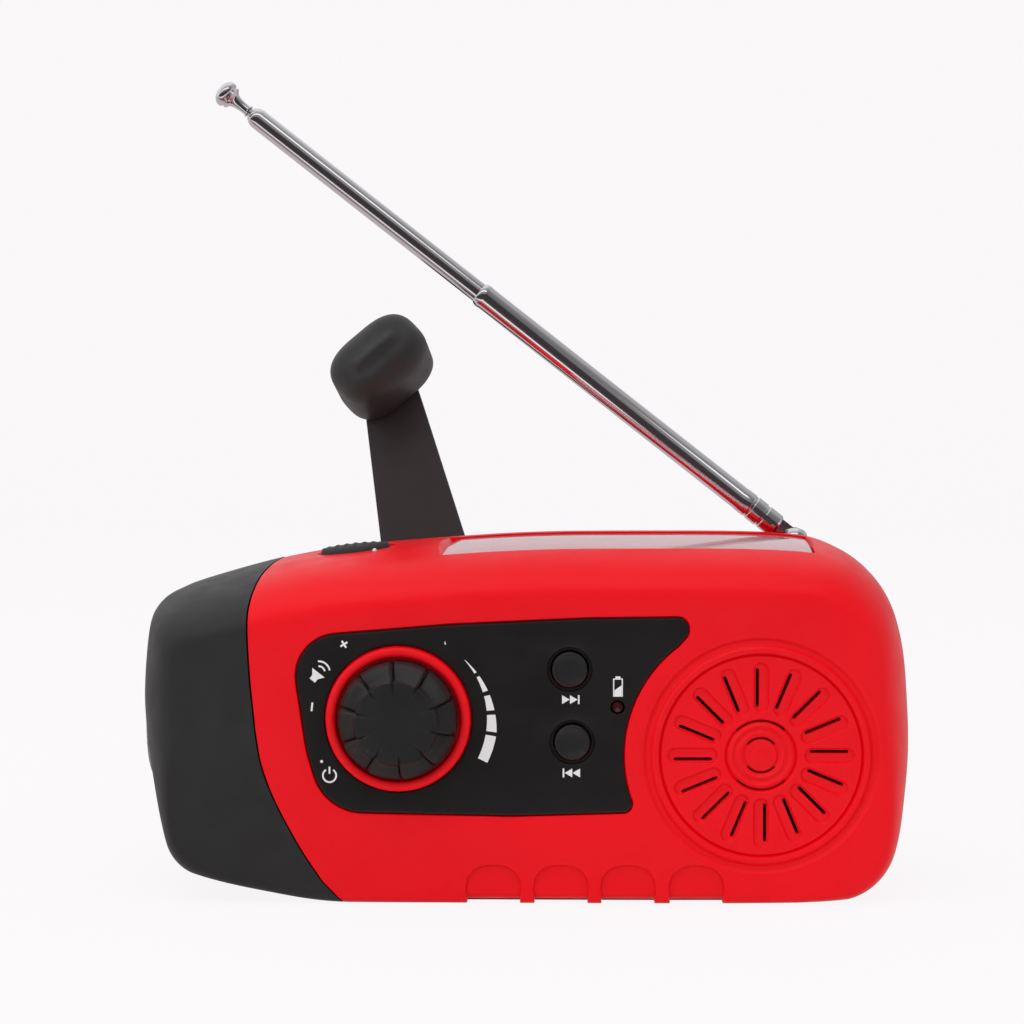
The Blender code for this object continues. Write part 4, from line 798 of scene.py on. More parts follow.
def grille_depth(radius, angle):
    """Depth of the loudspeaker relief below the front face."""
    depth = sum(height * bell(radius - at, half) for at, half, height in GRILLE_RINGS)
    depth += sum(height * ease(at - radius, soft) for at, soft, height in GRILLE_STEPS)
    # radial recesses with round ends
    pitch = 2 * math.pi / SPOKES
    offset = (angle + pitch / 2) % pitch - pitch / 2
    along, aside = radius * math.cos(offset), radius * math.sin(offset)
    half, start, end = 1.12, 6.95, 14.75
    beyond = max(start + half - along, along - (end - half), 0.0)
    return depth + 0.48 * ease(half - math.hypot(beyond, aside), 0.20)


def grille_slots():
    """Contours of the slots: one beside each spoke's centre line, and arcs above
    and below the hub's centre."""
    start, end, half, shift, steps = 7.7, 13.9, 0.27, 0.62, 4
    slot = []
    for centre, first in ((end - half, -math.pi / 2), (start + half, math.pi / 2)):
        for k in range(steps + 1):
            t = first + math.pi * k / steps
            slot.append((centre + half * math.cos(t), half * math.sin(t) + shift))
    slots = [put(slot, SPEAKER_X, SPEAKER_Z, math.radians(360.0 / SPOKES * k))
             for k in range(SPOKES)]
    half = 0.17
    for middle in (90.0, 270.0):
        # radius, half angle, steps
        for radius, reach, steps in ((2.75, 50, 14), (5.50, 44, 18)):
            slots.append(arc_band(SPEAKER_X, SPEAKER_Z, radius - half, radius + half,
                                  math.radians(middle - reach),
                                  math.radians(middle + reach), steps))
    return slots


def speaker_grille():
    count = SPOKES * 40
    mesh = bmesh.new()
    rows = [[mesh.verts.new((SPEAKER_X, FRONT_Y + grille_depth(0.0, 0.0), SPEAKER_Z))]]
    radius = 0.0
    while radius < GRILLE_RADIUS - 0.01:
        radius += 0.135
        here = min(radius, GRILLE_RADIUS)
        # fewer points round the small rings
        stride = 4 if here < 2.3 else 2 if here < 6.0 else 1
        row = []
        for i in range(0, count, stride):
            angle = 2 * math.pi * i / count
            depth = grille_depth(here, angle) if here < GRILLE_RADIUS - 0.01 else 0.0
            row.append(mesh.verts.new((SPEAKER_X + here * math.cos(angle), FRONT_Y + depth,
                                       SPEAKER_Z + here * math.sin(angle))))
        rows.append(row)
    for inner, outer in zip(rows[:-1], rows[1:]):
        bridge(mesh, inner, outer)
    rim = rows[-1]
    back = [mesh.verts.new((v.co.x, FRONT_Y + 2.6, v.co.z)) for v in rim]
    bridge(mesh, rim, back)
    mesh.faces.new(back)
    grille = new_object(mesh)
    cut(grille, plates(grille_slots(), FRONT_Y - 2.0, FRONT_Y + 4.0))
    piece(grille, "speaker_grille_look", "casing", slot="red_shell", angle=40.0)


# ------------------------------------------------------------ rear shell
# recess for a screw head: radius, Y
SCREW_RECESS = ((0, 15.0), (2.6, 15.0), (2.6, 17.65), (2.75, 17.9), (3.05, 18.2),
                (3.05, 30.0), (0, 30.0))


def rear_shell():
    clear_y = 30.0           # behind everything
    lip = 0.9
    shell = casing(0.0, 0.0, SPLIT_Y + SEAM_GAP, BACK_Y, front=False, back=True, rounds=3,
                   steps=10)
    cut(shell, box(-60.0, 90.0, 11.9, 40.0, REAR_TOP_Z, 90.0))
    room = casing(WALL, WALL, SPLIT_Y - 1.0, BACK_Y - WALL, front=False, back=True)
    cut(room, box(-90.0, 90.0, 0.0, 40.0, REAR_TOP_Z - WALL, 90.0))
    cut(shell, room)
    fuse(shell, y_rod(POCKET_X, CRANK_Z, 3.3, REAR_BOSS_END_Y, POCKET_RADIUS + lip, 48))
    for x, z in CASE_SCREWS:
        fuse(shell, y_rod(x, z, SPLIT_Y + SEAM_GAP, REAR_BOSS_END_Y, CASE_BOSS_RADIUS, 20))
    for x, z in GEAR_SCREWS:
        fuse(shell, y_rod(x, z, 10.7, REAR_BOSS_END_Y, 2.5, 16))
        cut(shell, y_rod(x, z, 9.0, REAR_BOSS_END_Y - 1.0, 0.8, 10))
    # boss under the aerial
    fuse(shell, rod((AERIAL_X, AERIAL_Y, 46.5), (AERIAL_X, AERIAL_Y, 52.2), 2.6, 20))
    # pocket for the handle of the folded crank
    pocket = [(0, clear_y), (POCKET_RADIUS + lip, clear_y)]
    pocket += rolled_edge(POCKET_RADIUS, lip, BACK_Y, -1, 5)
    pocket += [(POCKET_RADIUS, 5.5), (POCKET_RADIUS - 0.8, 4.7), (0, 4.7)]
    cut(shell, y_turned(pocket, POCKET_X, CRANK_Z, 72))
    for x, z in CASE_SCREWS:
        cut(shell, y_rod(x, z, 8.0, clear_y, 1.35, 16))
        cut(shell, y_turned(SCREW_RECESS, x, z, 32))
    # holes for the crank hub and the aerial
    cut(shell, y_rod(CRANK_X, CRANK_Z, 9.0, clear_y, 4.4, 40))
    cut(shell, rod((AERIAL_X, AERIAL_Y, 45.0), (AERIAL_X, AERIAL_Y, 60.0), 1.85, 24))
    # shallow ring round the crank hub
    groove = ((10.6, 17.5), (11.6, 17.5), (11.9, clear_y), (10.3, clear_y))
    cut(shell, y_turned(groove, CRANK_X, CRANK_Z, 72))
    # seat for the port cover, with two openings through it
    cut(shell, prism(soft_rectangle(29.3, 55.3, 3.7, 13.4, 0.8, 1.6, 6), 16.8, clear_y))
    cut(shell, box(30.2, 44.0, 8.0, clear_y, 5.2, 11.5))
    cut(shell, box(44.7, 54.3, 8.0, clear_y, 5.2, 9.3))
    # draft of the underside: Y, Z
    wedge = ((9.0, -2.0), (20.0, -2.0), (20.0, 0.0), (9.0, UNDERSIDE_DRAFT))
    cut(shell, stack(wedge, ((0.0, -40.0), (0.0, 70.0)), SIDE_VIEW))
    cut(shell, beside_seam(HALF_GAP, left=True))
    piece(shell, "rear_shell_look", "casing", "rear_shell", "red_shell", angle=28.0)


# ------------------------------------------------------------ lamp end
def joint_ring(wall_side, wall_top, y0, y1):
    """Hollow ring of the casing's section, for the cap's joint with the shells."""
    ring = casing(wall_side, wall_top, y0, y1, back=True)
    cut(ring, casing(3.7, 4.4, FRONT_Y + 4.6, BACK_Y - 3.6, back=True))
    return ring


def lamp_cap():
    cap = casing(0.0, 0.0, FRONT_Y, BACK_Y, back=True, rounds=3, steps=14)
    cut(cap, casing(WALL, WALL, FRONT_Y + WALL, BACK_Y - WALL, back=True, rounds=2, steps=5))
    cut(cap, beside_seam(-HALF_GAP, left=False))
    # tongue reaching past the joint, and the lip inside the cap that carries it
    tongue_reach, tongue_root = 3.0, -2.5
    tongue = joint_ring(2.45, 3.1, FRONT_Y + 3.4, BACK_Y - 2.4)
    cut(tongue, beside_seam(tongue_reach, left=False))
    cut(tongue, beside_seam(tongue_root, left=True))
    cut(tongue, box(-90, 0, 8.5, 40, 50.6, 90))
    lip = joint_ring(1.6, 1.6, FRONT_Y + 1.6, BACK_Y - 1.6)
    cut(lip, beside_seam(-HALF_GAP - 0.01, left=False))
    cut(lip, beside_seam(tongue_root, left=True))
    fuse(tongue, lip)
    fuse(cap, tongue)
    # flared lamp opening: growth, X
    opening = ((0.0, -57.4), (0.0, -61.3), (0.2, -61.9), (0.7, -62.6), (1.6, -63.2),
               (2.0, -80.0))
    cut(cap, stack(stadium(0.0, 24), opening, SIDE_VIEW))
    piece(cap, "lamp_cap_look", "casing", "lamp_cap", "black_cap", angle=28.0)


def lamp_lens():
    # growth, X
    levels = ((0.0, -60.5), (0.0, -61.9), (-0.12, -62.15), (-0.4, -62.28), (-1.0, -62.32))
    lens = stack(stadium(0.3, 24), levels, SIDE_VIEW)
    piece(lens, "lamp_lens_look", "casing", "lamp_lens", "clear_plastic", look="lens")


def lamp_reflector():
    """Block with three bowls, one above another."""
    front_x, back_x = -60.2, -52.6
    pitch, mouth, throat, depth = 8.2, 4.02, 1.75, 6.0
    reflector = stack(stadium(0.4, 20), ((0.0, front_x), (0.0, back_x)), SIDE_VIEW)
    bowl = [(0, -3.0), (mouth, -3.0), (mouth, 0.0)]
    for i in range(1, 13):
        height = i / 12.0 * depth
        bowl.append((throat + (mouth - throat) * math.sqrt(max(0.0, 1 - height / depth)),
                     height))
    bowl += [(throat, 2 * depth), (0, 2 * depth)]
    for k in range(3):
        at = (front_x, LAMP_Y, LAMP_Z + pitch * (k - 1))
        cut(reflector, turned(bowl, at, X_AXIS, 40))
    piece(reflector, "lamp_reflector_look", "casing", "lamp_reflector", "silver_reflector",
          angle=40.0)


# ------------------------------------------------------------ control panel
# growth, depth below the front face
PANEL_LEVELS = ((0.0, 1.0), (0.0, 0.26), (-0.03, 0.14), (-0.10, 0.06), (-0.22, 0.015),
                (-0.36, 0.0))
# stepped hole round a button: radius, Y
BUTTON_HOLE = ((0, -24.0), (3.75, -24.0), (3.75, FRONT_Y - 0.004), (3.62, FRONT_Y + 0.05),
               (3.55, FRONT_Y + 0.2), (3.5, FRONT_Y + 0.45), (3.1, FRONT_Y + 0.46),
               (3.1, HOLE_END_Y), (0, HOLE_END_Y))


def soft_hole(x, z, radius, lip, count):
    """Cutter for a hole whose front edge is softly rounded."""
    start_y = FRONT_Y - 3
    profile = [(0, start_y), (radius + lip, start_y)]
    profile += rolled_edge(radius, lip, FRONT_Y - 0.0005, 1, 4)
    profile += [(radius, HOLE_END_Y), (0, HOLE_END_Y)]
    return y_turned(profile, x, z, count)


def control_panel():
    panel = stack(grow(panel_outline(), -0.25), from_front(PANEL_LEVELS))
    cut(panel, soft_hole(KNOB_X, KNOB_Z, 11.8, 0.2, 96))
    for _, x, z, _ in BUTTONS:
        cut(panel, y_turned(BUTTON_HOLE, x, z, 50))
    cut(panel, soft_hole(LED_X, LED_Z, 1.15, 0.1, 32))
    piece(panel, "control_panel_look", "casing", "control_panel", "black_panel", angle=25.0)


def volume_wedges():
    """Five bands right of the knob that widen as they run clockwise."""
    inner, steps = 14.15, 6
    wedges = []
    # start and end angles in degrees
    for start, end in ((41.4, 30.8), (28.0, 17.6), (14.8, 5.3), (2.6, -7.8), (-10.2, -26.3)):
        angles = [start + (end - start) * k / steps for k in range(steps + 1)]
        rim = [(14.2 + 1.62 * min(1.0, max(0.02, (42.0 - angle) / 50.0)), angle)
               for angle in angles]
        rim += [(inner, angle) for angle in reversed(angles)]
        wedges.append([(KNOB_X + radius * math.cos(math.radians(angle)),
                        KNOB_Z + radius * math.sin(math.radians(angle)))
                       for radius, angle in rim])
    return wedges


def volume_signs():
    """Plus, minus and a small loudspeaker at the knob's left."""
    half, reach = 0.15, 0.65
    plus = [(half, half), (reach, half), (reach, -half), (half, -half), (half, -reach),
            (-half, -reach), (-half, -half), (-reach, -half), (-reach, half), (-half, half),
            (-half, reach), (half, reach)]
    signs = [put(plus, -28.7, 41.7, math.radians(32)),
             bar(-33.85, 31.7, length=1.4, width=0.30, angle=math.radians(84))]
    horn = [(-1.9, -0.55), (-1.2, -0.55), (-0.3, -1.25), (-0.3, 1.25), (-1.2, 0.55),
            (-1.9, 0.55)]
    waves = [arc_band(-0.2, 0.0, radius - 0.14, radius + 0.14, math.radians(-42),
                      math.radians(42), 8) for radius in (0.95, 1.75)]
    return signs + [put(shape, -32.6, 37.4, math.radians(52)) for shape in [horn] + waves]


def power_sign():
    """Open ring with a bar, a dot above it, and a tick over the knob."""
    x, z = -31.1, 20.7
    upright = math.radians(90)
    dot = [(-32.35 + 0.24 * math.cos(k * math.pi / 6), 22.95 + 0.24 * math.sin(k * math.pi / 6))
           for k in range(12)]
    return [arc_band(x, z, 0.92, 1.20, math.radians(122), math.radians(418), 24),
            bar(x, z + 0.85, length=1.15, width=0.28, angle=upright), dot,
            bar(-12.6, 41.9, length=0.5, width=0.16, angle=math.radians(100))]


def skip_signs():
    """Two triangles and a bar below each button; the lower set points left."""
    signs = []
    # Z, X of the triangles' bases, direction, X of the bar
    for z, bases, direction, bar_x in ((32.92, (5.98, 7.22), 1, 8.62),
                                       (21.2, (8.84, 7.60), -1, 6.20)):
        signs += [[(x, z - 0.70), (x + direction * 1.22, z), (x, z + 0.70)] for x in bases]
        signs.append(bar(bar_x, z, length=0.26, width=1.42, angle=0.0))
    return signs


def battery_sign():
    """Frame, contact and a half-filled body."""
    x, z = 14.85, 34.85
    half_x, half_z, line, gap = 0.77, 1.45, 0.18, 0.03
    left, right, low, high = x - half_x, x + half_x, z - half_z, z + half_z
    inner_left, inner_right = left + line, right - line
    return [rectangle(left, inner_left, low, high),
            rectangle(inner_right, right, low, high),
            rectangle(inner_left + 0.001, inner_right - 0.001, high - line, high),
            rectangle(x - 0.40, x + 0.40, high + gap, high + 0.33),
            [(inner_left + gap, low), (inner_right - gap, low),
             (inner_right - gap, z + 0.35), (inner_left + gap, z - 0.45)]]


def panel_marks():
    """White print, as thin raised films on the front face."""
    shapes = volume_wedges() + volume_signs() + power_sign() + skip_signs() + battery_sign()
    marks = plates(shapes, FRONT_Y - 0.018, FRONT_Y + 0.010)
    piece(marks, "panel_marks", "casing", look="print", angle=60.0)


# ------------------------------------------------------------ controls
GRIPS, GRIP_POINTS = 10, 26
KNOB_TOP_Y = -26.8
KNOB_FLAT_RADIUS = 6.1
KNOB_TOP_RADII = (2.4, 4.6, KNOB_FLAT_RADIUS, 6.45, 6.7, 6.95, 7.4, 7.9, 8.4, 8.8, 9.1, 9.3)
KNOB_SKIRT = ((9.4, -22.8), (9.4, -21.0), (9.1, -20.6))      # radius, Y


def knob_dip(radius, part, slit):
    """Depth of the knob's face below its flat top; part runs from 0 to 1 along a
    grip, and slit is 1 in the notch between two grips."""
    ramp_depth = 0.16 + 1.42 * part
    fall = max(0.0, radius - 6.6) * 0.55
    edge = 0.55 * max(0.0, radius - 8.6) ** 2 * 3.0
    notch = 0.5 if radius <= KNOB_FLAT_RADIUS else 0.45
    return (ease(radius - 6.62, 0.22) * (ramp_depth + fall) + edge
            + slit * notch * ease(radius - 5.9, 0.4))


def volume_knob():
    """Ten ramped grips round a flat top; each ends in a small step."""
    count = GRIPS * GRIP_POINTS
    mesh = bmesh.new()
    rows = [[mesh.verts.new((KNOB_X, KNOB_TOP_Y, KNOB_Z))]]
    for radius, skirt_y in [(r, None) for r in KNOB_TOP_RADII] + list(KNOB_SKIRT):
        row = []
        for i in range(count):
            part = (i % GRIP_POINTS) / GRIP_POINTS
            slit = 1.0 - ease(min(part, 1 - part) * GRIP_POINTS - 1.1, 0.9)
            angle = math.radians(95.0) + 2 * math.pi * i / count
            notched = radius - 0.35 * slit * ease(radius - 8.5, 0.6)
            y = KNOB_TOP_Y + knob_dip(radius, part, slit) if skirt_y is None else skirt_y
            row.append(mesh.verts.new((KNOB_X + notched * math.cos(angle), y,
                                       KNOB_Z + notched * math.sin(angle))))
        rows.append(row)
    for first, second in zip(rows[:-1], rows[1:]):
        bridge(mesh, first, second)
    mesh.faces.new(rows[-1])
    knob = new_object(mesh)
    cut(knob, y_rod(KNOB_X, KNOB_Z, -24.8, -18.0, 3.15, 32))
    piece(knob, "volume_knob_look", "volume_knob", "volume_knob", "black_knob", angle=42.0)


# face of a button: radius, Y, share of the dish depth
BUTTON_FACE = ((0, -21.32, 1.0), (0.9, -21.33, 0.9), (1.7, -21.36, 0.55),
               (2.15, -21.42, 0.2))
# rim, side and flange: radius, Y
BUTTON_SIDE = ((2.35, -21.46), (2.55, -21.46), (2.70, -21.40), (2.78, -21.28), (2.80, -21.1),
               (2.8, -17.6), (3.9, -17.6), (3.9, -16.7), (1.6, -16.7), (1.6, -15.2),
               (0, -15.2))


def skip_buttons():
    for name, x, z, dish in BUTTONS:
        profile = [(radius, y + dish * share) for radius, y, share in BUTTON_FACE]
        button = y_turned(profile + list(BUTTON_SIDE), x, z, 56)
        piece(button, name + "_look", name, name, "black_knob", angle=35.0)


def light_button():
    """Oval button with a domed, ribbed top."""
    count, dome_rings = 96, 26
    half_length, half_width, dome_base = 5.5, 3.7, 0.88
    # half length, half width, height
    levels = ((6.9, 5.1, -4.8), (6.9, 5.1, -3.8), (5.8, 4.0, -3.8), (5.8, 4.0, 0.25),
              (5.72, 3.92, 0.6), (half_length, half_width, dome_base))
    rib_height, rib_pitch, dome_height = 0.16, 1.5, 0.30
    rings = [light_oval(*level, count) for level in levels]
    for k in range(1, dome_rings):
        share = 1 - k / dome_rings
        ring = []
        for i in range(count):
            x = half_length * share * math.cos(2 * math.pi * i / count)
            y = half_width * share * math.sin(2 * math.pi * i / count)
            wave = 0.5 + 0.5 * math.cos(2 * math.pi * x / rib_pitch)
            rib = rib_height * ease(0.86 - share, 0.05) * wave ** 2
            height = dome_base + dome_height * (1 - share * share) + rib
            ring.append(LIGHT_AT + LIGHT_UP * height + LIGHT_SIDE * x + Y_AXIS * y)
        rings.append(ring)
    button = skin(rings)
    fuse(button, rod(LIGHT_AT + LIGHT_UP * -5.4, LIGHT_AT + LIGHT_UP * -4.5, 1.6, 20))
    piece(button, "light_button_look", "light_button", "light_button", "soft_rubber",
          angle=40.0)


def light_mark():
    """Small white dot at the light button's front edge."""
    centre = LIGHT_AT + LIGHT_UP * 0.03 + LIGHT_SIDE * 3.6 + Y_AXIS * -4.95
    profile = ((0, -0.2), (0.34, -0.2), (0.34, 0.1), (0.2, 0.24), (0, 0.26))
    piece(turned(profile, centre, LIGHT_UP, 16), "light_mark", "casing", look="print")


def solar_window():
    """Sheet that follows the casing's top."""
    window = window_block(rectangle(-13.7, 46.8, 45.0, 62.0), -11.0, 8.1)
    outer, inner = 0.35, 1.3     # depth below the casing's surface
    keep(window, casing(outer, outer, FRONT_Y, 30.0, rounds=3, steps=20))
    cut(window, casing(inner, inner, FRONT_Y, 30.0, rounds=3, steps=12))
    piece(window, "solar_window_look", "casing", "solar_window", "clear_plastic", angle=20.0)


# ------------------------------------------------------------ crank
HINGE = Vector((CRANK_X, HINGE_Y, CRANK_Z))
CRANK_UP = Vector((-math.sin(ARM_LEAN), 0, math.cos(ARM_LEAN)))
ARM_ALONG = CRANK_UP * math.cos(ARM_OUT) + Y_AXIS * math.sin(ARM_OUT)
ARM_FRONT = CRANK_UP * math.sin(ARM_OUT) - Y_AXIS * math.cos(ARM_OUT)
ARM_ACROSS = Vector((math.cos(ARM_LEAN), 0, math.sin(ARM_LEAN)))
ARM_AXES = (HINGE, ARM_ACROSS, ARM_ALONG, ARM_FRONT)
ARM_TIP = HINGE + ARM_ALONG * ARM_LENGTH


def arm_half_width(along):
    return 10.2 - 0.084 * along


def arm_outline():
    """Tapered arm with a round tip and a notch for the hub at its foot."""
    foot, shoulder, notch_half, notch_top = 0.4, 57.0, 4.35, 3.2
    # the sides run straight from the width at the hinge to the shoulder
    points = [(-arm_half_width(0), foot), (-arm_half_width(shoulder), shoulder)]
    tip_radius = arm_half_width(ARM_LENGTH) + 0.1
    for k in range(1, 24):
        angle = math.pi - math.pi * k / 24
        points.append((tip_radius * math.cos(angle),
                       ARM_LENGTH - 2.0 + (tip_radius + 1.2) * math.sin(angle)))
    return points + [(arm_half_width(shoulder), shoulder), (arm_half_width(0), foot),
                     (notch_half, foot), (notch_half, notch_top), (-notch_half, notch_top),
                     (-notch_half, foot)]


def crank_arm():
    # growth, distance towards the arm's front
    levels = ((-0.30, -1.3), (-0.10, -1.22), (0.0, -1.0), (0.0, 1.0), (-0.10, 1.22),
              (-0.30, 1.3))
    arm = stack(arm_outline(), levels, ARM_AXES)
    # long shallow hollow down the back face of the arm
    low, high = arm_half_width(8) - 2.2, arm_half_width(52) - 2.0
    hollow = round_corners([(-low, 8.0, 1.8), (-high, 51.0, 1.8), (high, 51.0, 1.8),
                            (low, 8.0, 1.8)], 8)
    cut(arm, stack(hollow, ((0.0, -0.85), (0.05, -1.0), (0.3, -1.301), (0.3, -3.0)),
                   ARM_AXES))
    # knuckles and pin hole of the hinge
    for side in (-1, 1):
        fuse(arm, rod(HINGE + ARM_ACROSS * side * 4.31, HINGE + ARM_ACROSS * side * 10.26,
                      1.95, 32, hint=ARM_FRONT))
    cut(arm, rod(HINGE - ARM_ACROSS * 14, HINGE + ARM_ACROSS * 14, 1.15, 24, hint=ARM_FRONT))
    # hole for the handle's pin
    cut(arm, rod(ARM_TIP - ARM_FRONT * 5, ARM_TIP + ARM_FRONT * 5, 1.7, 24,
                 hint=ARM_ACROSS))
    piece(arm, "crank_arm_look", "crank_arm", "crank_arm", "black_knob", look="arm")


def crank_handle():
    """Oblong grip standing on the front of the arm's tip."""
    turn = math.radians(42.0) - (math.pi / 2 + ARM_LEAN)
    long_axis = ARM_ALONG * math.cos(turn) - ARM_ACROSS * math.sin(turn)
    wide_axis = ARM_FRONT.cross(long_axis)
    half_long, half_wide, squareness, count = 9.25, 6.25, 0.70, 96
    # height, inset
    profile = [(1.7, 1.0), (1.85, 0.55), (2.25, 0.2), (2.9, 0.0), (5.0, 0.0), (8.5, 0.0),
               (11.2, 0.0)]
    for k in range(1, 13):
        t = math.pi / 2 * k / 12
        profile.append((11.2 + 5.0 * math.sin(t), 4.2 * (1 - math.cos(t))))
    rings = []
    for height, inset in profile:
        ring = []
        for i in range(count):
            angle = 2 * math.pi * i / count
            cosine, sine = math.cos(angle), math.sin(angle)
            x = half_long * math.copysign(abs(cosine) ** squareness, cosine)
            y = half_wide * math.copysign(abs(sine) ** squareness, sine)
            radius = math.hypot(x, y)
            share = (radius - inset) / radius
            ring.append(ARM_TIP + ARM_FRONT * height + long_axis * x * share
                        + wide_axis * y * share)
        rings.append(ring)
    # domed end, with a low crest along the grip
    crest_height, crest_width = 0.7, 1.1
    last = rings[-1]
    centre = sum(last, Vector()) / len(last)
    for share, rise in ((0.85, 0.06), (0.7, 0.12), (0.5, 0.18), (0.3, 0.22), (0.12, 0.24)):
        ring = []
        for point in last:
            aside = (point - centre).dot(wide_axis) * share / crest_width
            crest = crest_height * math.exp(-(aside ** 2)) * ease(0.9 - share, 0.08)
            ring.append(centre + (point - centre) * share + ARM_FRONT * (rise + crest))
        rings.append(ring)
    handle = skin(rings)
    cut(handle, rod(ARM_TIP, ARM_TIP + ARM_FRONT * 13.2, 1.75, 24, hint=ARM_ACROSS))
    piece(handle, "crank_handle_look", "crank_handle", "crank_knob", "black_knob",
          look="grip", angle=40.0)


def crank_hub():
    """Disc and shaft with a hinge block behind it."""
    # radius, Y
    profile = ((0, 8.7), (2.5, 8.7), (2.5, 18.4), (9.6, 18.4), (9.8, 18.6), (9.8, 19.3),
               (9.6, 19.7), (9.2, 19.95), (8.8, 20.0), (0, 20.0))
    half_block = 4.0
    hub = y_turned(profile, CRANK_X, CRANK_Z, 64)
    axes = (Vector((CRANK_X, 0, CRANK_Z)), ARM_ACROSS, CRANK_UP, Y_AXIS)
    fuse(hub, stack(rectangle(-half_block, half_block, -2.4, 2.4),
                    ((0.0, 19.5), (0.0, HINGE_Y)), axes))
    fuse(hub, rod(HINGE - ARM_ACROSS * half_block, HINGE + ARM_ACROSS * half_block, 2.35, 40,
                  hint=Y_AXIS))
    cut(hub, rod(HINGE - ARM_ACROSS * 12.0, HINGE + ARM_ACROSS * 12.0, 1.2, 24, hint=Y_AXIS))
    piece(hub, "crank_hub_look", "crank", "crank_hub", "black_knob", angle=35.0)


# ------------------------------------------------------------ aerial
AERIAL_AT = Vector((AERIAL_X, AERIAL_Y, AERIAL_Z))
AERIAL_ALONG = Vector((-math.cos(AERIAL_TILT), 0, math.sin(AERIAL_TILT)))
AERIAL_AXES = (AERIAL_AT, AERIAL_ALONG, Y_AXIS.cross(AERIAL_ALONG), Y_AXIS)
AERIAL_PIN_RADIUS = 0.75
# profiles: radius, distance from the pivot
TUBE_1 = ((0, 3.6), (1.4, 3.6), (1.95, 3.85), (2.16, 4.2), (2.16, 6.6), (2.02, 6.75),
          (2.02, 7.1), (2.2, 7.3), (2.2, 9.2), (2.04, 9.35), (2.04, 9.65), (2.18, 9.85),
          (2.18, 11.6), (2.12, 11.8), (2.12, 68.2), (2.17, 68.4), (2.19, 68.7), (2.16, 69.1),
          (2.08, 69.4), (1.96, 69.62), (1.88, 69.7), (1.88, 7.3), (0, 7.3))
TUBE_2 = ((1.48, 57.6), (1.8, 57.6), (1.8, 118.3), (1.78, 118.7), (1.70, 119.1),
          (1.58, 119.4), (1.48, 119.55), (1.42, 119.6), (1.42, 118.4), (1.48, 118.2))
TUBE_3 = ((1.0, 59.0), (1.38, 59.0), (1.38, 119.3), (1.34, 119.7), (1.22, 119.95),
          (1.02, 120.1), (0.9, 120.1), (0.9, 119.0), (1.0, 118.8))
TIP = ((0, 60.0), (0.8, 60.0), (0.8, 120.4), (1.05, 120.5), (1.08, 120.7), (0.86, 120.85),
       (0.84, 121.2), (0.86, 121.9), (0.93, 122.6), (1.04, 123.2), (1.2, 123.65),
       (1.45, 123.95), (1.85, 124.2), (2.0, 124.35), (1.98, 124.55), (1.84, 124.68),
       (1.84, 124.8), (2.1, 124.95), (2.28, 125.2), (2.32, 125.5), (2.25, 125.9),
       (2.02, 126.3), (1.62, 126.65), (1.1, 126.9), (0.55, 127.02), (0, 127.05))
# swivel foot: radius, Z
AERIAL_FOOT = ((0, 47.0), (1.6, 47.0), (1.6, 53.5), (2.45, 53.5), (2.5, 53.6), (2.5, 56.9),
               (2.35, 57.5), (2.0, 58.0), (1.2, 58.4), (0, 58.5))


def aerial_part(profile, count):
    return turned(profile, AERIAL_AT, AERIAL_ALONG, count, hint=Y_AXIS)


def aerial_tubes():
    lowest = aerial_part(TUBE_1, 48)
    # flat eye round the pivot pin
    eye_radius, eye_half = 1.7, 0.85
    eye = []
    for k in range(13):
        angle = math.pi / 2 + math.pi * k / 12
        eye.append((eye_radius * math.cos(angle), eye_radius * math.sin(angle)))
    eye += [(4.8, -eye_radius), (4.8, eye_radius)]
    fuse(lowest, stack(eye, ((0.0, -eye_half), (0.0, eye_half)), AERIAL_AXES))
    cut(lowest, y_rod(AERIAL_X, AERIAL_Z, AERIAL_Y - 4, AERIAL_Y + 4, AERIAL_PIN_RADIUS, 16))
    # shallow slots, back and front
    for side in (1, -1):
        cut(lowest, stack(rectangle(5.0, 8.8, -0.45, 0.45),
                          ((0.0, side * 1.99), (0.0, side * 4.0)), AERIAL_AXES))
    piece(lowest, "antenna_tube_1_look", "antenna_lower", "antenna_tube_1", "chrome")
    # profile, segments, name, body
    for profile, count, name, body in ((TUBE_2, 48, "antenna_tube_2", "antenna_middle"),
                                       (TUBE_3, 36, "antenna_tube_3", "antenna_upper"),
                                       (TIP, 48, "antenna_tip", "antenna_end")):
        piece(aerial_part(profile, count), name + "_look", body, name, "chrome")


def aerial_foot():
    foot = turned(AERIAL_FOOT, (AERIAL_X, AERIAL_Y, 0), Z_AXIS, 40)
    cut(foot, box(AERIAL_X - 6, AERIAL_X + 6, AERIAL_Y - 1.1, AERIAL_Y + 1.1, 54.1, 62.0))
    cut(foot, y_rod(AERIAL_X, AERIAL_Z, AERIAL_Y - 5, AERIAL_Y + 5, AERIAL_PIN_RADIUS, 16))
    piece(foot, "antenna_base_look", "antenna_mount", "antenna_base", "chrome", angle=35.0)


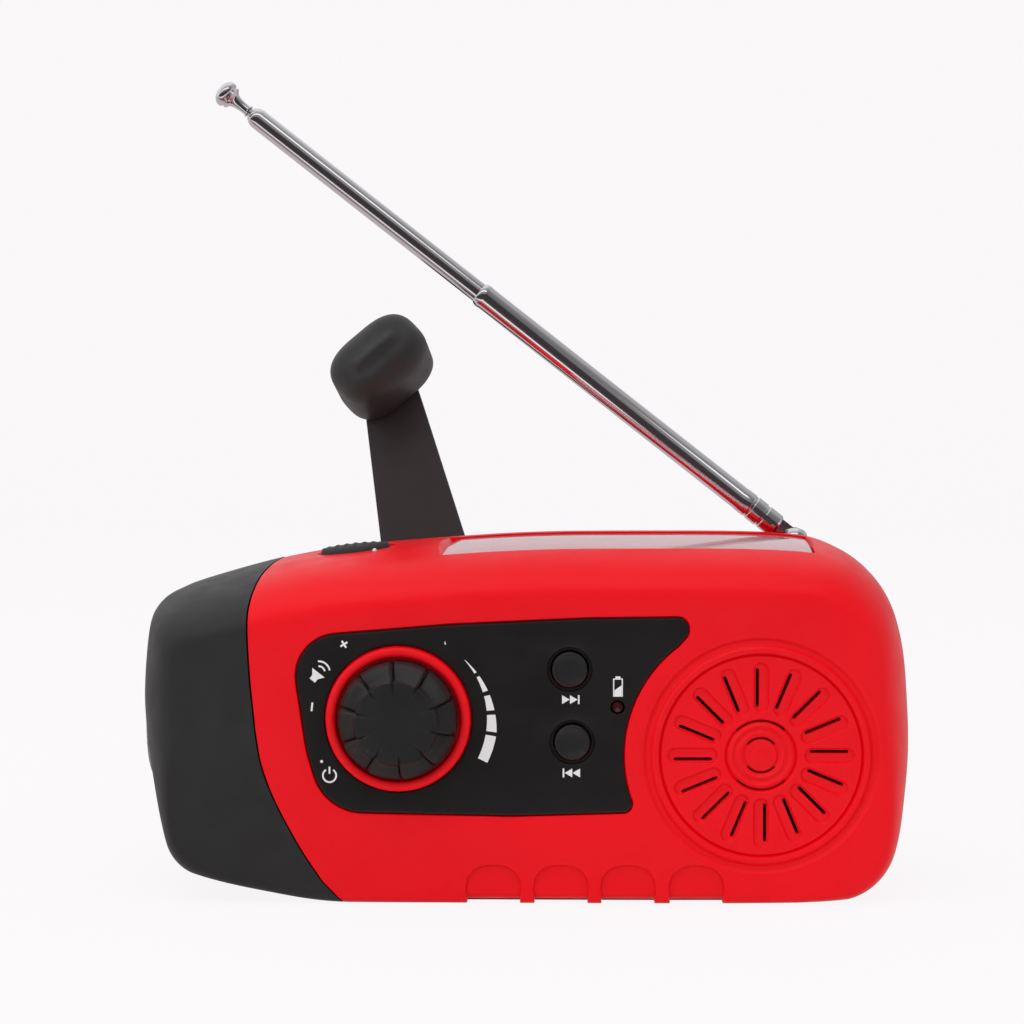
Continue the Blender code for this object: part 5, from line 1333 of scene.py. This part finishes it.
# ------------------------------------------------------------ small rear parts
def port_cover():
    """Rubber flap low on the back, with a pull tab and three grooves."""
    inner_y, outer_y = 17.1, 18.25
    cover = stack(soft_rectangle(29.6, 55.0, 4.15, 13.0, 0.4, 1.4, 8),
                  ((-0.15, inner_y), (0.0, inner_y + 0.15), (0.0, outer_y - 0.25),
                   (-0.08, outer_y - 0.08), (-0.25, outer_y)))
    fuse(cover, stack(soft_rectangle(40.3, 44.3, 11.6, 12.2, 0.3, 0.3, 4),
                      ((0.0, outer_y - 0.4), (0.0, outer_y + 0.35), (-0.12, outer_y + 0.5))))
    groove_z, groove_pitch, groove_width = 6.6, 1.3, 0.4
    for k in range(3):
        z = groove_z + k * groove_pitch
        groove = soft_rectangle(39.3, 45.3, z, z + groove_width, 0.2, 0.2, 3)
        cut(cover, prism(groove, outer_y - 0.2, outer_y + 2.0))
    piece(cover, "port_cover_look", "port_cover", "port_cover", "soft_rubber", angle=35.0)


def case_screws():
    """Cross-head screws, each turned a little differently."""
    # radius, Y
    profile = ((0, -4.0), (0.9, -3.4), (0.9, 14.7), (1.1, 15.3), (2.3, 15.3), (2.35, 15.45),
               (2.3, 16.0), (2.0, 16.45), (1.4, 16.8), (0.7, 17.0), (0, 17.05))
    for k, (x, z) in enumerate(CASE_SCREWS):
        screw = y_turned(profile, x, z, 32)
        for angle in (0.35 + k, 0.35 + k + math.pi / 2):
            cut(screw, prism(bar(x, z, length=2.5, width=0.5, angle=angle), 16.1, 19.0))
        name = "case_screw_%d" % (k + 1)
        piece(screw, name + "_look", "casing", name, "steel")


# ------------------------------------------------------------ stage
PALE_RGB = (0.975, 0.957, 0.970)     # floor and background as the camera sees them
PALE_SHARE = 0.93                    # share of that flat tone on the floor
WORLD_GREY = 0.63                    # light from the surroundings
# angle in degrees about X from the front, positive upwards; red, green, blue
STUDIO_STOPS = (
    (-180, 0.62, 0.58, 0.59), (-140, 0.60, 0.54, 0.55), (-95, 0.60, 0.52, 0.53),
    (-78, 0.55, 0.49, 0.50), (-72, 0.10, 0.08, 0.085), (-64, 0.10, 0.08, 0.085),
    (-60, 0.42, 0.37, 0.38), (-45, 0.38, 0.34, 0.35), (-42, 1.25, 1.2, 1.2),
    (-35, 1.25, 1.2, 1.2), (-32, 0.10, 0.085, 0.09), (-15, 0.05, 0.042, 0.045),
    (16, 0.055, 0.048, 0.05), (26, 0.30, 0.29, 0.295), (45, 0.36, 0.35, 0.35),
    (75, 0.50, 0.49, 0.50), (100, 0.90, 0.90, 0.92), (150, 0.85, 0.85, 0.87),
    (180, 0.62, 0.60, 0.61))


def studio(tree, direction):
    """What polished parts see: a dark camera side, a grey ceiling, a bright
    strip and the pale table, all by direction only."""
    toward = node(tree, "SeparateXYZ", {0: direction})
    turn = calc(tree, 'ARCTAN2', toward.outputs["Z"],
                calc(tree, 'MULTIPLY', toward.outputs["Y"], -1.0))
    around = ramp(tree, turn, 0.0, 1.0, start=-math.pi, end=math.pi)
    colours = node(tree, "ValToRGB", {"Fac": around})
    elements = colours.color_ramp.elements
    while len(elements) > 1:
        elements.remove(elements[-1])
    for k, (degrees, *rgb) in enumerate(STUDIO_STOPS):
        position = (degrees + 180.0) / 360.0
        element = elements[0] if k == 0 else elements.new(position)
        element.position = position
        element.color = (*rgb, 1)
    # the right-hand side of the room is dimmer above the table
    side = ramp(tree, toward.outputs["X"], 1.0, 0.55, start=0.25, end=0.50)
    above = ramp(tree, toward.outputs["Z"], 0.0, 1.0, start=0.0, end=0.1)
    loss = calc(tree, 'MULTIPLY', above, calc(tree, 'SUBTRACT', 1.0, side))
    dimmed = node(tree, "VectorMath", {0: colours.outputs["Color"],
                                       "Scale": calc(tree, 'SUBTRACT', 1.0, loss)},
                  operation='SCALE')
    # narrow bright strip overhead, seen by the upper part of the aerial
    low = ramp(tree, turn, 0.0, 1.0, start=math.radians(43), end=math.radians(46))
    high = ramp(tree, turn, 1.0, 0.0, start=math.radians(54), end=math.radians(57))
    left = ramp(tree, toward.outputs["X"], 1.0, 0.0, start=0.40, end=0.48)
    strip = calc(tree, 'MULTIPLY', calc(tree, 'MULTIPLY', low, high), left)
    return mix(tree, strip, dimmed.outputs[0], (1.5, 1.5, 1.5))


def floor_material():
    """Pale to the camera, the studio to polished parts, plain diffuse otherwise."""
    material = bpy.data.materials.new("pale_floor")
    material.use_nodes = True
    tree = material.node_tree
    tree.nodes.clear()
    output = node(tree, "OutputMaterial", {})
    at = node(tree, "TexCoord", {}).outputs["Object"]
    cloud = noise(tree, at, scale=6.0, detail=3.0, roughness=0.5)
    tone = mix(tree, ramp(tree, cloud, 0.0, 1.0, start=0.0, end=1.0), (0.90, 0.89, 0.90),
               (0.92, 0.91, 0.92))
    diffuse = node(tree, "BsdfDiffuse", {"Color": tone})
    pale = node(tree, "Emission", {"Color": PALE_RGB})
    incoming = node(tree, "NewGeometry", {}).outputs["Incoming"]
    outgoing = node(tree, "VectorMath", {0: incoming, "Scale": -1.0}, operation='SCALE')
    seen = node(tree, "Emission", {"Color": studio(tree, outgoing.outputs[0])})
    path = node(tree, "LightPath", {})
    share = calc(tree, 'MULTIPLY', path.outputs["Is Camera Ray"], PALE_SHARE)
    plain = node(tree, "MixShader", {0: share, 1: diffuse.outputs[0], 2: pale.outputs[0]})
    surface = node(tree, "MixShader", {0: path.outputs["Is Glossy Ray"],
                                       1: plain.outputs[0], 2: seen.outputs[0]})
    feed(tree, output.inputs["Surface"], surface.outputs[0])
    return material


def backdrop():
    """Floor that curves up into a wall at the back; sizes in metres."""
    bend_y, bend_radius, half_width = 1.1, 0.6, 4.0
    profile = [(-3.0, 0.0), (bend_y, 0.0)]       # Y, Z
    for k in range(1, 13):
        t = math.pi / 2 * k / 12
        profile.append((bend_y + bend_radius * math.sin(t), bend_radius * (1 - math.cos(t))))
    profile.append((1.7, 3.2))
    material = floor_material()
    mesh = bmesh.new()
    # set just below the radio's underside
    left, right = [[mesh.verts.new((x, y, z - 0.00005)) for y, z in profile]
                   for x in (-half_width, half_width)]
    for i in range(len(profile) - 1):
        mesh.faces.new((left[i], right[i], right[i + 1], left[i + 1]))
    data = bpy.data.meshes.new("backdrop")
    mesh.to_mesh(data)
    mesh.free()
    floor = bpy.data.objects.new("backdrop", data)
    bpy.context.scene.collection.objects.link(floor)
    data.materials.append(material)
    data.shade_smooth()


def surroundings():
    world = bpy.data.worlds.new("studio")
    bpy.context.scene.world = world
    world.use_nodes = True
    tree = world.node_tree
    background = tree.nodes["Background"]
    view = node(tree, "TexCoord", {}).outputs["Generated"]
    room = studio(tree, view)
    path = node(tree, "LightPath", {})
    base = mix(tree, path.outputs["Is Camera Ray"], (WORLD_GREY,) * 3, PALE_RGB)
    set_shader(tree, background, Color=mix(tree, path.outputs["Is Glossy Ray"], base, room),
               Strength=1.0)


def area_light(name, location, target, size, size_y, power):
    light = bpy.data.lights.new(name, 'AREA')
    light.energy = power
    light.shape = 'RECTANGLE'
    light.size = size
    light.size_y = size_y
    lamp = bpy.data.objects.new(name, light)
    bpy.context.scene.collection.objects.link(lamp)
    lamp.location = location
    aim = Vector(target) - Vector(location)
    lamp.rotation_euler = aim.to_track_quat('-Z', 'Y').to_euler()
    lamp.visible_glossy = False


def lights():
    area_light("key_top", location=(-0.15, -0.25, 0.95), target=(0.0, 0.0, 0.05),
               size=0.9, size_y=0.55, power=3.2)
    area_light("front_left", location=(-0.85, -0.75, 0.35), target=(0.0, 0.0, 0.04),
               size=0.7, size_y=0.9, power=3.1)
    area_light("front_right", location=(0.9, -0.65, 0.30), target=(0.0, 0.0, 0.04),
               size=0.6, size_y=0.8, power=1.6)


def camera():
    lens = bpy.data.cameras.new("camera")
    lens.sensor_width = 36.0
    lens.lens = 77.48
    lens.clip_start = 0.01
    lens.clip_end = 20.0
    viewer = bpy.data.objects.new("camera", lens)
    bpy.context.scene.collection.objects.link(viewer)
    viewer.location = (0.00558, -0.36954, 0.07828)
    viewer.rotation_euler = (math.radians(87.45), math.radians(0.07), math.radians(1.233))
    bpy.context.scene.camera = viewer


def paint_frame():
    slots = {s["node"]: s["material_slot"] for s in frame["record"]["subparts"]}
    for name, part in frame["nodes"].items():
        paint(part, LOOKS[slots[name]])


def main():
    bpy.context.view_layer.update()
    paint_frame()
    for build in (front_shell, speaker_grille, rear_shell, lamp_cap, lamp_lens,
                  lamp_reflector, control_panel, panel_marks, volume_knob, skip_buttons,
                  light_button, light_mark, solar_window, crank_arm, crank_handle,
                  crank_hub, aerial_tubes, aerial_foot, port_cover, case_screws,
                  backdrop, surroundings, lights, camera):
        build()
    bpy.context.scene.view_settings.view_transform = 'Standard'
    bpy.context.view_layer.update()

    def plain(bounds):
        return [[float(v) for v in corner] for corner in bounds]


main()
